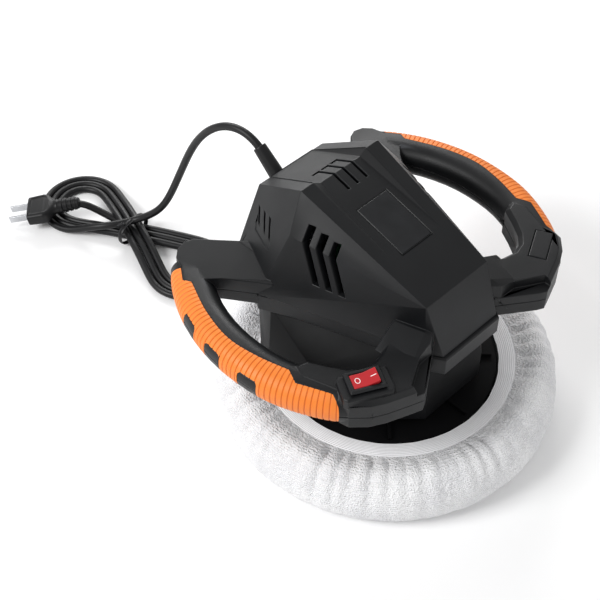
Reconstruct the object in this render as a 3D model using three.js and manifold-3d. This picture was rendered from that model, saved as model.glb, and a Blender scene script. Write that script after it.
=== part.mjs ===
// A two-handed random-orbital car polisher: a vented hood over a vertical motor, a C-shaped
// handle on each side, and a round foam pad in a terry bonnet, driven by an eccentric.
// Millimetres, +Z up. The front (the nose of the hood) faces -Y and the cord leaves at +Y.
// The origin is the middle of the bonnet's flat working face, at rest.
import * as THREE from 'three';
import { mergeVertices } from 'three/addons/utils/BufferGeometryUtils.js';
import { ConvexGeometry } from 'three/addons/geometries/ConvexGeometry.js';
import Module from 'manifold-3d';

const wasm = await Module();
wasm.setup();

// ---- Driving dimensions ----
const GAP = 0.3; // clearance between pieces that rest on each other
const PARTING = 117; // height of the line where the two shells meet
const HANDLE_TOP = 131;
const HANDLE_BOTTOM = 104.5;
const GRIP_TOP = 130; // the rounded part of a handle is a little lower than its flat ends
const GRIP_BOTTOM = 104;
const GRIP_ROUND = 12; // corner radius of the rounded part's section
const ARM_EDGE = 3; // edge radius of the flat ends
const GRIP_SKIN = 2.4; // thickness of the soft over-moulding
const SHELL_BOTTOM = 101.5; // lowest face of the lower shell
const SKIRT_TOP = SHELL_BOTTOM - GAP;
const SKIRT_BOTTOM = 46;
const MOTOR_Y = 5; // motor axis, from the pad's centre at rest
const ORBIT = 5; // eccentric offset: the pad's centre is this far from the motor axis
const MOTOR_R = 29;
const MOTOR_BOTTOM = 84;
const MOTOR_TOP = 146;
const SHAFT_R = 4;
const PAD_R = 118; // foam pad
const BONNET_R = 124;
const HEM_R = 81; // opening of the bonnet
const BONNET_TOP = 49;
const CORD_R = 3;

// ---- Materials ----
const finish = (color, roughness, metalness = 0) =>
  new THREE.MeshStandardMaterial({ color, roughness, metalness });
const blackPlastic = finish(0x1b1b1d, 0.55);
const darkPlastic = finish(0x27272a, 0.6);
const orangeRubber = finish(0xf0701a, 0.6);
const redPlastic = finish(0xd32230, 0.35);
const terry = finish(0xf2f1ee, 0.95);
const foam = finish(0x2a2a2c, 0.95);
const steel = finish(0xb4b6b8, 0.35, 0.9);
const copper = finish(0xb8703a, 0.4, 0.9);
const magnetBlack = finish(0x3a3a3c, 0.7);
const boardGreen = finish(0x1f6a3c, 0.6);
const cordBlack = finish(0x141416, 0.5);
const brass = finish(0xc0a050, 0.35, 0.9);
const castIron = finish(0x5a5a5c, 0.6, 0.6);

// ---- Solids ----
const v2 = ([x, y]) => new THREE.Vector2(x, y);

// A closed geometry as a manifold-3d solid, without its slivers of no area.
function solid(geometry) {
  const bare = geometry.clone();
  bare.deleteAttribute('normal');
  bare.deleteAttribute('uv');
  const merged = mergeVertices(bare, 1e-3);
  const index = merged.index.array;
  const triVerts = [];
  for (let i = 0; i < index.length; i += 3) {
    const [a, b, c] = [index[i], index[i + 1], index[i + 2]];
    if (a !== b && b !== c && c !== a) triVerts.push(a, b, c);
  }
  return new wasm.Manifold(new wasm.Mesh({
    numProp: 3,
    vertProperties: new Float32Array(merged.attributes.position.array),
    triVerts: new Uint32Array(triVerts),
  }));
}

function geometryOf(body) {
  const mesh = body.getMesh();
  const geometry = new THREE.BufferGeometry();
  geometry.setAttribute('position', new THREE.BufferAttribute(mesh.vertProperties, 3));
  geometry.setIndex(new THREE.BufferAttribute(mesh.triVerts, 1));
  geometry.computeVertexNormals();
  return geometry;
}

// A straight prism of a plan outline between two heights, its edges rounded by `edge`.
function prism(outline, bottom, top, edge = 0, curveSegments = 6) {
  const shape = outline instanceof THREE.Shape ? outline : new THREE.Shape(outline.map(v2));
  const geometry = new THREE.ExtrudeGeometry(shape, {
    depth: top - bottom - 2 * edge,
    bevelEnabled: edge > 0,
    bevelThickness: edge,
    bevelSize: edge,
    bevelOffset: -edge,
    bevelSegments: 1,
    curveSegments,
  });
  return geometry.translate(0, 0, bottom + edge);
}

// A body of revolution about the line x = 0, y = 0, from [radius, height] pairs.
function turned(profile, segments = 24) {
  return new THREE.LatheGeometry(profile.map(v2), segments).rotateX(Math.PI / 2);
}

// A ring with a square section, bored right through.
const ring = (inner, outer, bottom, top, segments = 24) => turned([
  [inner, bottom], [outer, bottom], [outer, top], [inner, top], [inner, bottom],
], segments);

const disc = (radius, bottom, top, segments = 24) =>
  turned([[0, bottom], [radius, bottom], [radius, top], [0, top]], segments);

const box = (x0, x1, y0, y1, z0, z1) =>
  new THREE.BoxGeometry(x1 - x0, y1 - y0, z1 - z0)
    .translate((x0 + x1) / 2, (y0 + y1) / 2, (z0 + z1) / 2);

const hull = (points) => new ConvexGeometry(points.map(([x, y, z]) => new THREE.Vector3(x, y, z)));

// Points given for the right side, with their mirror images on the left.
const bothSides = (points) => [...points, ...points.map(([x, ...rest]) => [-x, ...rest])];

// A hull of points given for one side only, made symmetric about x = 0.
const symmetricHull = (points) => hull(bothSides(points));

// The same solid on the left side.
const mirrored = (body) => body.mirror([1, 0, 0]);

// ---- The object ----
const polisher = new THREE.Group();
const motorGroup = new THREE.Group();
motorGroup.position.set(0, MOTOR_Y, 0);
polisher.add(motorGroup);

function add(name, shape, material, parent = polisher) {
  const geometry = shape instanceof THREE.BufferGeometry ? shape : geometryOf(shape);
  const mesh = new THREE.Mesh(geometry, material);
  mesh.name = name;
  parent.add(mesh);
  return mesh;
}

// ---- Handles (the right one; the left is its mirror image) ----
// Each is a C: a rounded bar bent round the hand's space, between two flat ends that run into
// the shells. The bar's centre line, from the front end to the rear end:
const BAR_LINE = [[83, -60, 117.5], [98, -45, 117.5], [110, -23.5, 117.4], [116.5, -4, 117.2],
  [118.8, 18, 117], [118, 38, 116.6], [114, 57.5, 116], [107.5, 75.5, 115.3],
  [98, 92.5, 114.6], [90, 102.5, 114.2]];
const BAR_HALF_WIDTH = 14.5;
const BAR_HALF_HEIGHT = (GRIP_TOP - GRIP_BOTTOM) / 2;
const BAR_STEPS = 17;
const HANDLE_WALL = 3.2;
const FRONT_END = [[20, -44], [22, -58], [30, -63], [56, -81], [61, -83.5], [68, -81],
  [85, -74.5], [95, -69], [104, -60.5], [105.5, -54], [104, -47], [111.5, -25], [107, -14],
  [97, -17], [91, -28], [84, -39], [77, -45], [69, -47], [60, -45], [46, -38], [34, -32]];
const REAR_END = [[20, 60], [40, 50], [68, 46], [78, 60], [88, 74], [95, 81], [102, 85.5],
  [104, 90], [99.5, 101], [96.5, 110.5], [91, 115.5], [83.5, 117], [77, 114.5], [50, 85], [34, 72]];

// A rectangle with round corners, centred, `tall` along x and `wide` along y.
function roundedSection(tall, wide, radius) {
  const shape = new THREE.Shape();
  shape.moveTo(-tall, -wide + radius);
  shape.absarc(-tall + radius, -wide + radius, radius, Math.PI, 1.5 * Math.PI);
  shape.absarc(tall - radius, -wide + radius, radius, 1.5 * Math.PI, 2 * Math.PI);
  shape.absarc(tall - radius, wide - radius, radius, 0, 0.5 * Math.PI);
  shape.absarc(-tall + radius, wide - radius, radius, 0.5 * Math.PI, Math.PI);
  return shape;
}

// The rounded bar; a positive `inset` makes it thinner all round.
function bar(inset, steps = BAR_STEPS, curveSegments = 4) {
  const line = new THREE.CatmullRomCurve3(
    BAR_LINE.map((point) => new THREE.Vector3(...point)), false, 'centripetal');
  const section = roundedSection(BAR_HALF_HEIGHT - inset, BAR_HALF_WIDTH - inset,
    GRIP_ROUND - inset);
  return solid(new THREE.ExtrudeGeometry(section, {
    steps, curveSegments, bevelEnabled: false, extrudePath: line,
  }));
}

// The hollows of the two ends, open to the inside of the shells.
const FRONT_HOLLOW = [[18, -46], [24, -55], [32, -58.5], [57, -76], [66, -78], [84, -71],
  [93, -66], [100, -58], [96, -44], [84, -43], [77, -49], [69, -51], [60, -49], [46, -42]];
const REAR_HOLLOW = [[18, 62], [40, 54], [67, 51], [85, 76], [94, 86], [96, 98], [91, 110],
  [84, 113], [78, 109.5], [50, 80], [34, 70]];

// The rear end's top falls away outwards.
const rearSlope = () => solid(hull([40, 140].flatMap((y) => [[58, y, 130.6], [125, y, 124.4],
  [58, y, 145], [125, y, 145]])));

const flatEnds = () => [FRONT_END, REAR_END]
  .map((plan) => solid(prism(plan, HANDLE_BOTTOM, HANDLE_TOP, ARM_EDGE)))
  .reduce((all, end) => all.add(end)).subtract(rearSlope());

const endHollows = () => [FRONT_HOLLOW, REAR_HOLLOW]
  .map((plan) => solid(prism(plan, HANDLE_BOTTOM + HANDLE_WALL, HANDLE_TOP - HANDLE_WALL - 5)))
  .reduce((all, end) => all.add(end));

// Plan region that the orange over-moulding covers: outwards of its inner boundary.
function gripRegion(shift) {
  const shape = new THREE.Shape();
  const inwards = (x, y) => [x + shift, y];
  shape.moveTo(100.5 + shift, 101 - shift);
  shape.lineTo(107 + shift, 91.5 - shift);
  shape.lineTo(104.5 + shift, 85.3);
  shape.splineThru([inwards(115.5, 57.3), inwards(120.6, 30.2), inwards(117.6, 6.7),
    inwards(111.3, -15.1)].map(v2));
  shape.lineTo(115.5 + shift, -25);
  shape.lineTo(105 + shift, -47 + shift);
  shape.lineTo(107 + shift, -54 + shift);
  shape.lineTo(116 + shift, -70 + shift);
  shape.lineTo(160, -80);
  shape.lineTo(160, 130);
  shape.lineTo(112 + shift, 118 - shift);
  return prism(shape, HANDLE_BOTTOM - 5, HANDLE_TOP + 5);
}

// Windows in the over-moulding, through which the hard core shows: centre and heading.
const WINDOWS = [[131.8, 2.5, -5], [132, 35, 2], [126.3, 63, 17.5]];
const WINDOW_LENGTH = 15.5;
const WINDOW_BOTTOM = 107;
const WINDOW_TOP = 124;

function windowBlocks(grow) {
  const blocks = WINDOWS.map(([x, y, degrees]) => {
    const half = WINDOW_LENGTH / 2 + grow;
    const block = box(-11, 11, -half, half, WINDOW_BOTTOM - grow, WINDOW_TOP + grow);
    return solid(block.rotateZ(THREE.MathUtils.degToRad(degrees)).translate(x, y, 0));
  });
  return blocks[0].add(blocks[1]).add(blocks[2]);
}

// A step under the top plate of the front end, on its front face.
function frontStep() {
  return solid(hull([[30, -56, 124.5], [66, -77, 124.5], [30, -90, 124.5], [66, -110, 124.5],
    [30, -57, 132], [66, -76, 132], [30, -90, 132], [66, -110, 132]]));
}

function wholeHandle() {
  const core = bar(GRIP_SKIN).add(windowBlocks(0));
  const covered = solid(gripRegion(0)).subtract(core);
  return bar(0).subtract(covered).add(flatEnds()).subtract(frontStep());
}

function grip() {
  const skin = bar(0).intersect(solid(gripRegion(GAP)));
  return skin.subtract(bar(GRIP_SKIN - GAP)).subtract(windowBlocks(GAP)).subtract(flatEnds());
}

const handleCavity = () => bar(GRIP_SKIN + HANDLE_WALL, 9, 1).add(endHollows());

// ---- Hood: flat facets between these corners (right side) ----
const RIDGE_REAR = [35.8, 51.7, 187.8];
const ROOF_REAR = [30.2, 97.9, 159.7];
const CHAMFER_REAR = [52.7, 44.9, 164];
const NOSE_TOP = [29.3, -53.6, 154.1];
const NOSE_LOW = [26.3, -69.3, PARTING];
const HOOD_PLAN = [[26.3, -69.3], [33, -58], [39, -31], [62, 30], [74, 54], [57, 94], [36, 106]];

const HOOD_INNER_PLAN = [[23.6, -66], [30, -56], [36, -31], [58.8, 30], [70.6, 53.5],
  [54.5, 91.5], [34.5, 103]];

const atHeight = (plan, z) => plan.map(([x, y]) => [x, y, z]);

// A plan given from front to rear on the right, closed round the left side.
const aroundBothSides = (plan) => [...plan, ...plan.map(([x, y]) => [-x, y]).reverse()];

const hoodCorners = (plan) => [RIDGE_REAR, ROOF_REAR, CHAMFER_REAR, NOSE_TOP, NOSE_LOW,
  ...atHeight(plan, PARTING - 0.01)];

const hoodOutside = () => solid(symmetricHull(hoodCorners(HOOD_PLAN)));

// The inside follows the outside one wall thickness in, and keeps below the roof's sunken middle.
function hoodInside() {
  return solid(symmetricHull([
    [32, 49.5, 180.3], [27.6, 94, 157], [49, 43.5, 160.5], [26.6, -50.5, 151],
    ...atHeight(HOOD_INNER_PLAN, PARTING), ...atHeight(HOOD_INNER_PLAN, PARTING - 8),
  ]));
}

// The sunken middle of the roof. Its floor falls both ways from a crease and runs out to
// nothing at the front and at the rear edge.
const CREASE_Y = 51.5;
const CREASE_Z = 184;
const FRONT_SLOPE = 0.262; // height lost per millimetre forwards of the crease
const REAR_SLOPE = 0.524;
const PANEL_FRONT = -13;
const PANEL_REAR = ROOF_REAR[1];

const panelFloor = (y) => CREASE_Z
  - (y < CREASE_Y ? (CREASE_Y - y) * FRONT_SLOPE : (y - CREASE_Y) * REAR_SLOPE);

function roofPanel() {
  const ridge = [[18.5, CREASE_Y, CREASE_Z], [24.8, CREASE_Y, 187.9], [24.8, CREASE_Y, 200]];
  const front = symmetricHull([...ridge, [22.5, PANEL_FRONT, panelFloor(PANEL_FRONT)],
    [22.5, PANEL_FRONT, 200]]);
  const rear = symmetricHull([...ridge, [20, PANEL_REAR, panelFloor(PANEL_REAR)],
    [20, PANEL_REAR, 200]]);
  return solid(front).add(solid(rear));
}

// A slot made of straight cuts from point to point, cut to a depth along one axis.
function slotAlong(points, width, depthAxis) {
  const half = width / 2;
  const reachEachWay = 9;
  const cut = (a, b) => {
    const corners = [];
    for (const [x, y, z] of [a, b]) {
      for (const side of [-half, half]) {
        for (const reach of [-reachEachWay, reachEachWay]) {
          if (depthAxis === 'x') corners.push([x + reach, y + side, z]);
          else corners.push([x + side, y, z + reach]);
        }
      }
    }
    return solid(hull(corners));
  };
  return points.slice(1).map((point, i) => cut(points[i], point))
    .reduce((all, piece) => all.add(piece));
}

// Three slots over the crease of the roof, each with a short hook at its rear end.
function roofVents() {
  const slots = [-6, 2.5, 11].map((x) => {
    const straight = slotAlong([[x, 37, panelFloor(37)], [x, CREASE_Y, CREASE_Z],
      [x, 66.5, panelFloor(66.5)]], 2, 'z');
    return straight.add(solid(box(x - 5.5, x + 1, 64.5, 66.5, 166, 190)));
  });
  return slots[0].add(slots[1]).add(slots[2]);
}

// Three bent slots down each flank, and three slanting ones beside the roof's rear corner.
function sideVents() {
  const flank = [[[42.6, 34.5, 173], [50, 33.1, 162.8], [55, 18, 139]],
    [[41.2, 24.6, 171], [47.6, 23.2, 161.8], [52.6, 8.6, 139]],
    [[39.8, 14.8, 169], [45.3, 13.4, 160.8], [50.2, -0.6, 139]]]
    .map((points) => slotAlong(points, 5, 'x'));
  const rear = [[[39, 88, 152], [47.5, 81, 144.5]], [[42, 80, 154], [50.5, 72, 145.5]],
    [[45, 72, 156], [53.5, 64, 146.5]]].map((points) => slotAlong(points, 3, 'x'));
  return [...flank, ...rear].reduce((all, slot) => all.add(slot));
}

// The angular recess round the slanting slots, deepest along its lower edge.
const ventRecess = () => solid(hull([[38, 92, 156], [45, 70, 161], [56.5, 58, 152], [60, 62, 142.5],
  [50.5, 84, 140.5], [37.6, 91, 155.6], [44, 69.6, 160.4], [55, 57.6, 151.6], [57.2, 61, 142],
  [48.2, 82.6, 140]]));

// A blank label field on the roof panel: a narrow groove round a plain rectangle.
function labelGroove() {
  const middle = 2;
  const outer = solid(box(-14.5, 14.5, -21.7, 21.7, -0.6, 3));
  const inner = solid(box(-13.7, 13.7, -20.9, 20.9, -2, 4));
  return outer.subtract(inner).rotate([THREE.MathUtils.radToDeg(Math.atan(FRONT_SLOPE)), 0, 0])
    .translate([0, middle, panelFloor(middle)]);
}

// The rise of the front arm to the nose.
const armRise = () => solid(hull([[30, -30, 128], [30, -62, 128], [40, -37, 137], [33, -57, 137],
  [35, -64, 134], [22, -40, 137], [22, -56, 137], [60, -40, 128], [56, -66, 128], [34, -66, 120]]));

const aboveParting = () => solid(box(-200, 200, -200, 200, PARTING + GAP / 2, 260));
const belowParting = () => solid(box(-200, 200, -200, 200, 60, PARTING - GAP / 2));

const handleRight = wholeHandle();
const handles = handleRight.add(mirrored(handleRight));
const cavityRight = handleCavity();
const handleCavities = cavityRight.add(mirrored(cavityRight));
const rises = armRise().add(mirrored(armRise()));
const flankVents = sideVents().add(mirrored(sideVents()));
const ventRecesses = ventRecess().add(mirrored(ventRecess()));

// ---- Screws ----
// A plain cylindrical head and a shaft, with the head downwards or upwards.
const HEAD_R = 3.2;
const HEAD_HEIGHT = 2.4;
const SCREW_R = 1.6;
const SCREW_HOLE_R = 1.95;

// From the head's outer face at `headEnd` to the tip at `tip`, along Z.
function screw(headEnd, tip) {
  const inwards = Math.sign(tip - headEnd);
  const neck = headEnd + inwards * HEAD_HEIGHT;
  const profile = [[0, headEnd], [HEAD_R, headEnd], [HEAD_R, neck], [SCREW_R, neck],
    [SCREW_R, tip - inwards], [0, tip]];
  return turned(inwards > 0 ? profile : profile.reverse(), 8);
}

const HOUSING_SCREWS = [[56, -64], [-56, -64], [87, 101], [-87, 101]];
const SKIRT_SCREWS = [[22, -42], [-22, -42], [46, 56], [-46, 56]];
const BRACKET_SCREWS = [[29, -22], [-29, -22], [29, 22], [-29, 22]];
const CLAMP_SCREWS = [[-9.5, 69], [9.5, 69]];
const BOSS_R = 5;

const posts = (places, radius, bottom, top) => places
  .map(([x, y]) => solid(disc(radius, bottom, top, 10)).translate([x, y, 0]))
  .reduce((all, post) => all.add(post));

const seatOfHead = SHELL_BOTTOM + 5.5;
const SCREW_TOP = 124;

// ---- Switch seat and blanking seat on the front arms ----
const SWITCH_X = 86.5;
const SWITCH_Y = -56.5;
const SWITCH_TURN = 27; // degrees, following the handle's outer edge
const BEZEL = [24, 17];
const SWITCH_BODY = [19, 13];
const ROCKER = [17.2, 10.8];
const PLATFORM_TOP = HANDLE_TOP + 3;
const COVER = [26, 12];
const COVER_SINK = 1.3;

const block = ([length, width], bottom, top) =>
  box(-length / 2, length / 2, -width / 2, width / 2, bottom, top);

const grown = ([length, width], by) => [length + 2 * by, width + 2 * by];

const onLeftArm = (shape) => shape
  .rotateZ(THREE.MathUtils.degToRad(-SWITCH_TURN)).translate(-SWITCH_X, SWITCH_Y, 0);
const onRightArm = (shape) => shape
  .rotateZ(THREE.MathUtils.degToRad(SWITCH_TURN)).translate(SWITCH_X, SWITCH_Y, 0);

const switchPlatform = () => solid(onLeftArm(prism([[-15, -11.5], [15, -11.5], [17, -8],
  [17, 9], [-15, 9], [-17, 6], [-17, -9]], HANDLE_TOP - 6, PLATFORM_TOP, 1)));
const switchHole = () => solid(onLeftArm(block(grown(SWITCH_BODY, GAP), 110, 150)));
const coverSeat = () => solid(onRightArm(block(grown(COVER, GAP), HANDLE_TOP - COVER_SINK - GAP, 150)));

// ---- The cord's way out: the strain relief's axis, from inside the hood, up and rearwards ----
const RELIEF_START = [0, 92, 122.9];
const RELIEF_TILT = 39.8; // degrees above level
const RELIEF_LENGTH = 50;

function onReliefAxis(shape) {
  return shape.rotateX(THREE.MathUtils.degToRad(RELIEF_TILT - 90)).translate(...RELIEF_START);
}

const exitHole = () => solid(onReliefAxis(disc(6.5, 4, 26, 20)));

// ---- Upper shell ----
function upperHousing() {
  const outside = hoodOutside().subtract(roofPanel()).subtract(ventRecesses).add(handles)
    .add(rises).add(switchPlatform()).intersect(aboveParting());
  const bosses = posts(HOUSING_SCREWS, BOSS_R, PARTING + GAP / 2, SCREW_TOP + 2);
  return outside.subtract(hoodInside()).subtract(handleCavities).add(bosses)
    .subtract(posts(HOUSING_SCREWS, SCREW_HOLE_R, PARTING - 1, SCREW_TOP + 0.5))
    .subtract(roofVents()).subtract(flankVents).subtract(labelGroove())
    .subtract(switchHole()).subtract(coverSeat()).subtract(exitHole());
}

// ---- Lower shell ----
const SHELL_PLAN = [[26.5, -72], [31, -64], [39, -31], [62, 30], [74, 54], [57, 94], [36, 106]];
const FLOOR = SHELL_BOTTOM + 3;
const SKIRT_SCREW_TOP = 112;
const BOARD = { half: 16.5, front: 44, thick: 1.6, bottom: 105, top: 125 };

// Two grooved ribs that hold the rectifier board on edge.
function boardRibs() {
  const rib = (side) => box(side < 0 ? -19 : 15, side < 0 ? -15 : 19, 41.5, 48, FLOOR - 1, 116.8);
  const groove = box(-BOARD.half - GAP, BOARD.half + GAP, BOARD.front - GAP,
    BOARD.front + BOARD.thick + GAP, BOARD.bottom - GAP, 130);
  return solid(rib(-1)).add(solid(rib(1))).subtract(solid(groove));
}

function lowerHousing() {
  const outside = solid(prism(aroundBothSides(SHELL_PLAN), SHELL_BOTTOM, PARTING - GAP / 2, 1))
    .add(handles.intersect(belowParting()));
  const inside = solid(prism(aroundBothSides(HOOD_INNER_PLAN), FLOOR, PARTING + 1));
  const throat = solid(disc(MOTOR_R + 1.5, 90, 120, 24).translate(0, MOTOR_Y, 0));
  const housingBosses = posts(HOUSING_SCREWS, BOSS_R, HANDLE_BOTTOM + 1, PARTING - GAP / 2);
  const skirtBosses = posts(SKIRT_SCREWS, BOSS_R, FLOOR - 1, SKIRT_SCREW_TOP + 2);
  return outside.subtract(inside).subtract(handleCavities).subtract(throat)
    .add(housingBosses).add(skirtBosses).add(boardRibs())
    .subtract(posts(HOUSING_SCREWS, HEAD_R + 0.5, SHELL_BOTTOM - 5, seatOfHead + GAP))
    .subtract(posts(HOUSING_SCREWS, SCREW_HOLE_R, 100, PARTING + 1))
    .subtract(posts(SKIRT_SCREWS, SCREW_HOLE_R, 100, SKIRT_SCREW_TOP + 0.5))
    .subtract(posts(CLAMP_SCREWS, SCREW_HOLE_R, SHELL_BOTTOM + 0.8, 120))
    .intersect(belowParting());
}

// ---- Skirt: motor base and pad guard, with a deck across it that carries the motor ----
const SKIRT_PLAN = [[28, -62], [62, -30], [78, 5], [78, 40], [64, 64], [35, 84], [0.01, 88]];
const SKIRT_TOP_PLAN = [[24, -58], [36, -28], [58, 30], [66, 50], [52, 78], [30, 88]];
const SKIRT_INSET = 0.965; // of the outline, for the inner faces
const SHOULDER_INSET = 0.93; // of the outline, where the wall has turned inwards
const WALL_TOP = 70;
const SHOULDER_TOP = 82;
const DECK_BOTTOM = 74;
const DECK_TOP = 80;

const scaledPlan = (plan, factor, z) => plan.map(([x, y]) => [x * factor, y * factor, z]);

const skirtHull = (factor, bottom, top) => solid(symmetricHull([
  ...scaledPlan(SKIRT_PLAN, factor, bottom), ...scaledPlan(SKIRT_PLAN, factor, WALL_TOP),
  ...scaledPlan(SKIRT_PLAN, factor * SHOULDER_INSET, SHOULDER_TOP),
  ...scaledPlan(SKIRT_TOP_PLAN, factor, top),
]));

function skirt() {
  const deck = solid(box(-100, 100, -100, 100, DECK_BOTTOM, DECK_TOP));
  const inside = skirtHull(SKIRT_INSET, SKIRT_BOTTOM - 1, SKIRT_TOP + 1).subtract(deck);
  const bracketHoles = posts(BRACKET_SCREWS, SCREW_HOLE_R, DECK_BOTTOM + 0.8, DECK_TOP + 1)
    .translate([0, MOTOR_Y, 0]);
  return skirtHull(1, SKIRT_BOTTOM, SKIRT_TOP).subtract(inside)
    .add(posts(SKIRT_SCREWS, BOSS_R, DECK_TOP - 1, SKIRT_TOP))
    .subtract(posts(SKIRT_SCREWS, SCREW_HOLE_R, DECK_BOTTOM - 1, SKIRT_TOP + 1))
    .subtract(solid(disc(15, 60, 90).translate(0, MOTOR_Y, 0))).subtract(bracketHoles);
}

add('upper_housing', upperHousing(), blackPlastic);
add('lower_housing', lowerHousing(), blackPlastic);
add('skirt', skirt(), darkPlastic);

const rightGrip = grip();
add('right_grip', rightGrip, orangeRubber);
add('left_grip', mirrored(rightGrip), orangeRubber);

HOUSING_SCREWS.forEach(([x, y], i) => {
  add(`housing_screw_${i + 1}`, screw(seatOfHead - HEAD_HEIGHT, SCREW_TOP), steel)
    .position.set(x, y, 0);
});
SKIRT_SCREWS.forEach(([x, y], i) => {
  add(`skirt_screw_${i + 1}`, screw(DECK_BOTTOM - GAP - HEAD_HEIGHT, SKIRT_SCREW_TOP), steel)
    .position.set(x, y, 0);
});

// ---- Rocker switch on the left arm, plain cover on the right arm ----
const HINGE_Z = PLATFORM_TOP + 1.7;
const ROCKER_TILT = 10; // degrees either side of level; at rest the outer end is down
const BODY_BOTTOM = 116.5;
const BODY_POCKET = [17.8, 11.6];

const switchBody = () => solid(block(SWITCH_BODY, BODY_BOTTOM, PLATFORM_TOP))
  .subtract(solid(block(BODY_POCKET, PLATFORM_TOP - 2.6, 150)));
const bezelRing = () => solid(prism([[-12, -8.5], [12, -8.5], [12, 8.5], [-12, 8.5]],
  PLATFORM_TOP + GAP, PLATFORM_TOP + 3, 0.8)).subtract(solid(block(grown(ROCKER, 0.4), 130, 150)));

// The rocker seen from its long side: raised ends, and a rounded underside.
function rocker() {
  const side = [[-8.6, 2.6], [-8.6, 0.4], [-5.5, -2.2], [5.5, -2.2], [8.6, 0.4], [8.6, 2.6], [0, 1.3]];
  const shape = prism(side, -ROCKER[1] / 2, ROCKER[1] / 2).rotateX(Math.PI / 2);
  return shape.rotateY(THREE.MathUtils.degToRad(-ROCKER_TILT));
}

const leftArm = new THREE.Group();
leftArm.position.set(-SWITCH_X, SWITCH_Y, 0);
leftArm.rotation.z = THREE.MathUtils.degToRad(-SWITCH_TURN);
polisher.add(leftArm);

add('switch_body', switchBody(), darkPlastic, leftArm);
add('switch_bezel', bezelRing(), blackPlastic, leftArm);
add('switch_rocker', rocker(), redPlastic, leftArm).position.set(0, 0, HINGE_Z);
[-5, 5].forEach((x, i) => {
  add(`switch_terminal_${i + 1}`, box(x - 0.4, x + 0.4, -2.4, 2.4, BODY_BOTTOM - 7.3,
    BODY_BOTTOM - GAP), brass, leftArm);
});

const coverPlate = prism([[-13, -6], [13, -6], [13, 6], [-13, 6]], HANDLE_TOP - COVER_SINK,
  HANDLE_TOP + 1.2, 0.5);
add('blanking_cover', onRightArm(coverPlate), blackPlastic);

// ---- Motor, on the skirt's deck ----
const CAN_WALL = 2.5;
const BRACKET_BOTTOM = DECK_TOP + GAP;
const BRACKET_TOP = MOTOR_BOTTOM - GAP;
const BEARING_R = 11;
const SHAFT_BORE = SHAFT_R + GAP;
const FAN_BOTTOM = 151;
const SHAFT_TOP = 160;
const SHAFT_BOTTOM = 61;

const motorCan = turned([[BEARING_R + GAP, MOTOR_BOTTOM], [MOTOR_R, MOTOR_BOTTOM],
  [MOTOR_R, MOTOR_TOP], [MOTOR_R - CAN_WALL, MOTOR_TOP], [MOTOR_R - CAN_WALL, MOTOR_BOTTOM + 3],
  [BEARING_R + GAP, MOTOR_BOTTOM + 3], [BEARING_R + GAP, MOTOR_BOTTOM]]);
add('motor_can', motorCan, steel, motorGroup);

function bracket() {
  return solid(box(-35, 35, -27, 27, BRACKET_BOTTOM, BRACKET_TOP))
    .subtract(solid(disc(12, 70, 90))).subtract(posts(BRACKET_SCREWS, SCREW_HOLE_R, 70, 90));
}
add('motor_bracket', bracket(), steel, motorGroup);
BRACKET_SCREWS.forEach(([x, y], i) => {
  add(`bracket_screw_${i + 1}`, screw(BRACKET_TOP + GAP + HEAD_HEIGHT, DECK_BOTTOM + 1.2), steel,
    motorGroup).position.set(x, y, 0);
});

// Two curved magnets against the can's inside.
function magnet(turn) {
  const shape = new THREE.Shape();
  const outer = MOTOR_R - CAN_WALL - GAP;
  const half = THREE.MathUtils.degToRad(65);
  shape.absarc(0, 0, outer, -half, half);
  shape.absarc(0, 0, outer - 4, half, -half, true);
  return prism(shape, 92, 130).rotateZ(turn);
}
add('magnet_1', magnet(0), magnetBlack, motorGroup);
add('magnet_2', magnet(Math.PI), magnetBlack, motorGroup);

// The armature's core, a stack with ten slots.
function core() {
  const teeth = 10;
  const outline = [];
  for (let i = 0; i < teeth; i += 1) {
    for (const [radius, share] of [[14, -0.2], [21.4, -0.14], [21.4, 0.64], [14, 0.7]]) {
      const angle = ((i + share) / teeth) * 2 * Math.PI;
      outline.push([radius * Math.cos(angle), radius * Math.sin(angle)]);
    }
  }
  return solid(prism(outline, 96, 126)).subtract(solid(disc(SHAFT_BORE, 90, 130, 16)));
}
add('armature', core(), steel, motorGroup);
add('winding_upper', ring(SHAFT_BORE + 2, 19, 126.3, 132.5), copper, motorGroup);
add('winding_lower', ring(SHAFT_BORE + 2, 19, 91.5, 95.7), copper, motorGroup);
add('commutator', ring(SHAFT_BORE, 9, 133, 142, 20), copper, motorGroup);
add('motor_shaft', disc(SHAFT_R, SHAFT_BOTTOM, SHAFT_TOP, 20), steel, motorGroup);
add('lower_bearing', ring(SHAFT_BORE, BEARING_R, MOTOR_BOTTOM + 0.2, 90.7), steel, motorGroup);
add('upper_bearing', ring(SHAFT_BORE, 9.7, 143.5, 149.3), steel, motorGroup);

// The can's end cap, with the two brush holders hanging from it.
function brushPlate() {
  const plate = solid(ring(10, MOTOR_R - 0.1, MOTOR_TOP + GAP, 149.3));
  const holders = solid(box(12, 23, -5, 5, 133.5, 147)).add(solid(box(-23, -12, -5, 5, 133.5, 147)));
  return plate.add(holders).subtract(solid(box(-20.3, 20.3, -2.8, 2.8, 134.7, 140.3)));
}
add('brush_plate', brushPlate(), darkPlastic, motorGroup);
[1, -1].forEach((side, i) => {
  const [near, far] = [9.4 * side, 20 * side];
  add(`brush_${i + 1}`, box(Math.min(near, far), Math.max(near, far), -2.5, 2.5, 135, 140),
    magnetBlack, motorGroup);
});

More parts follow.
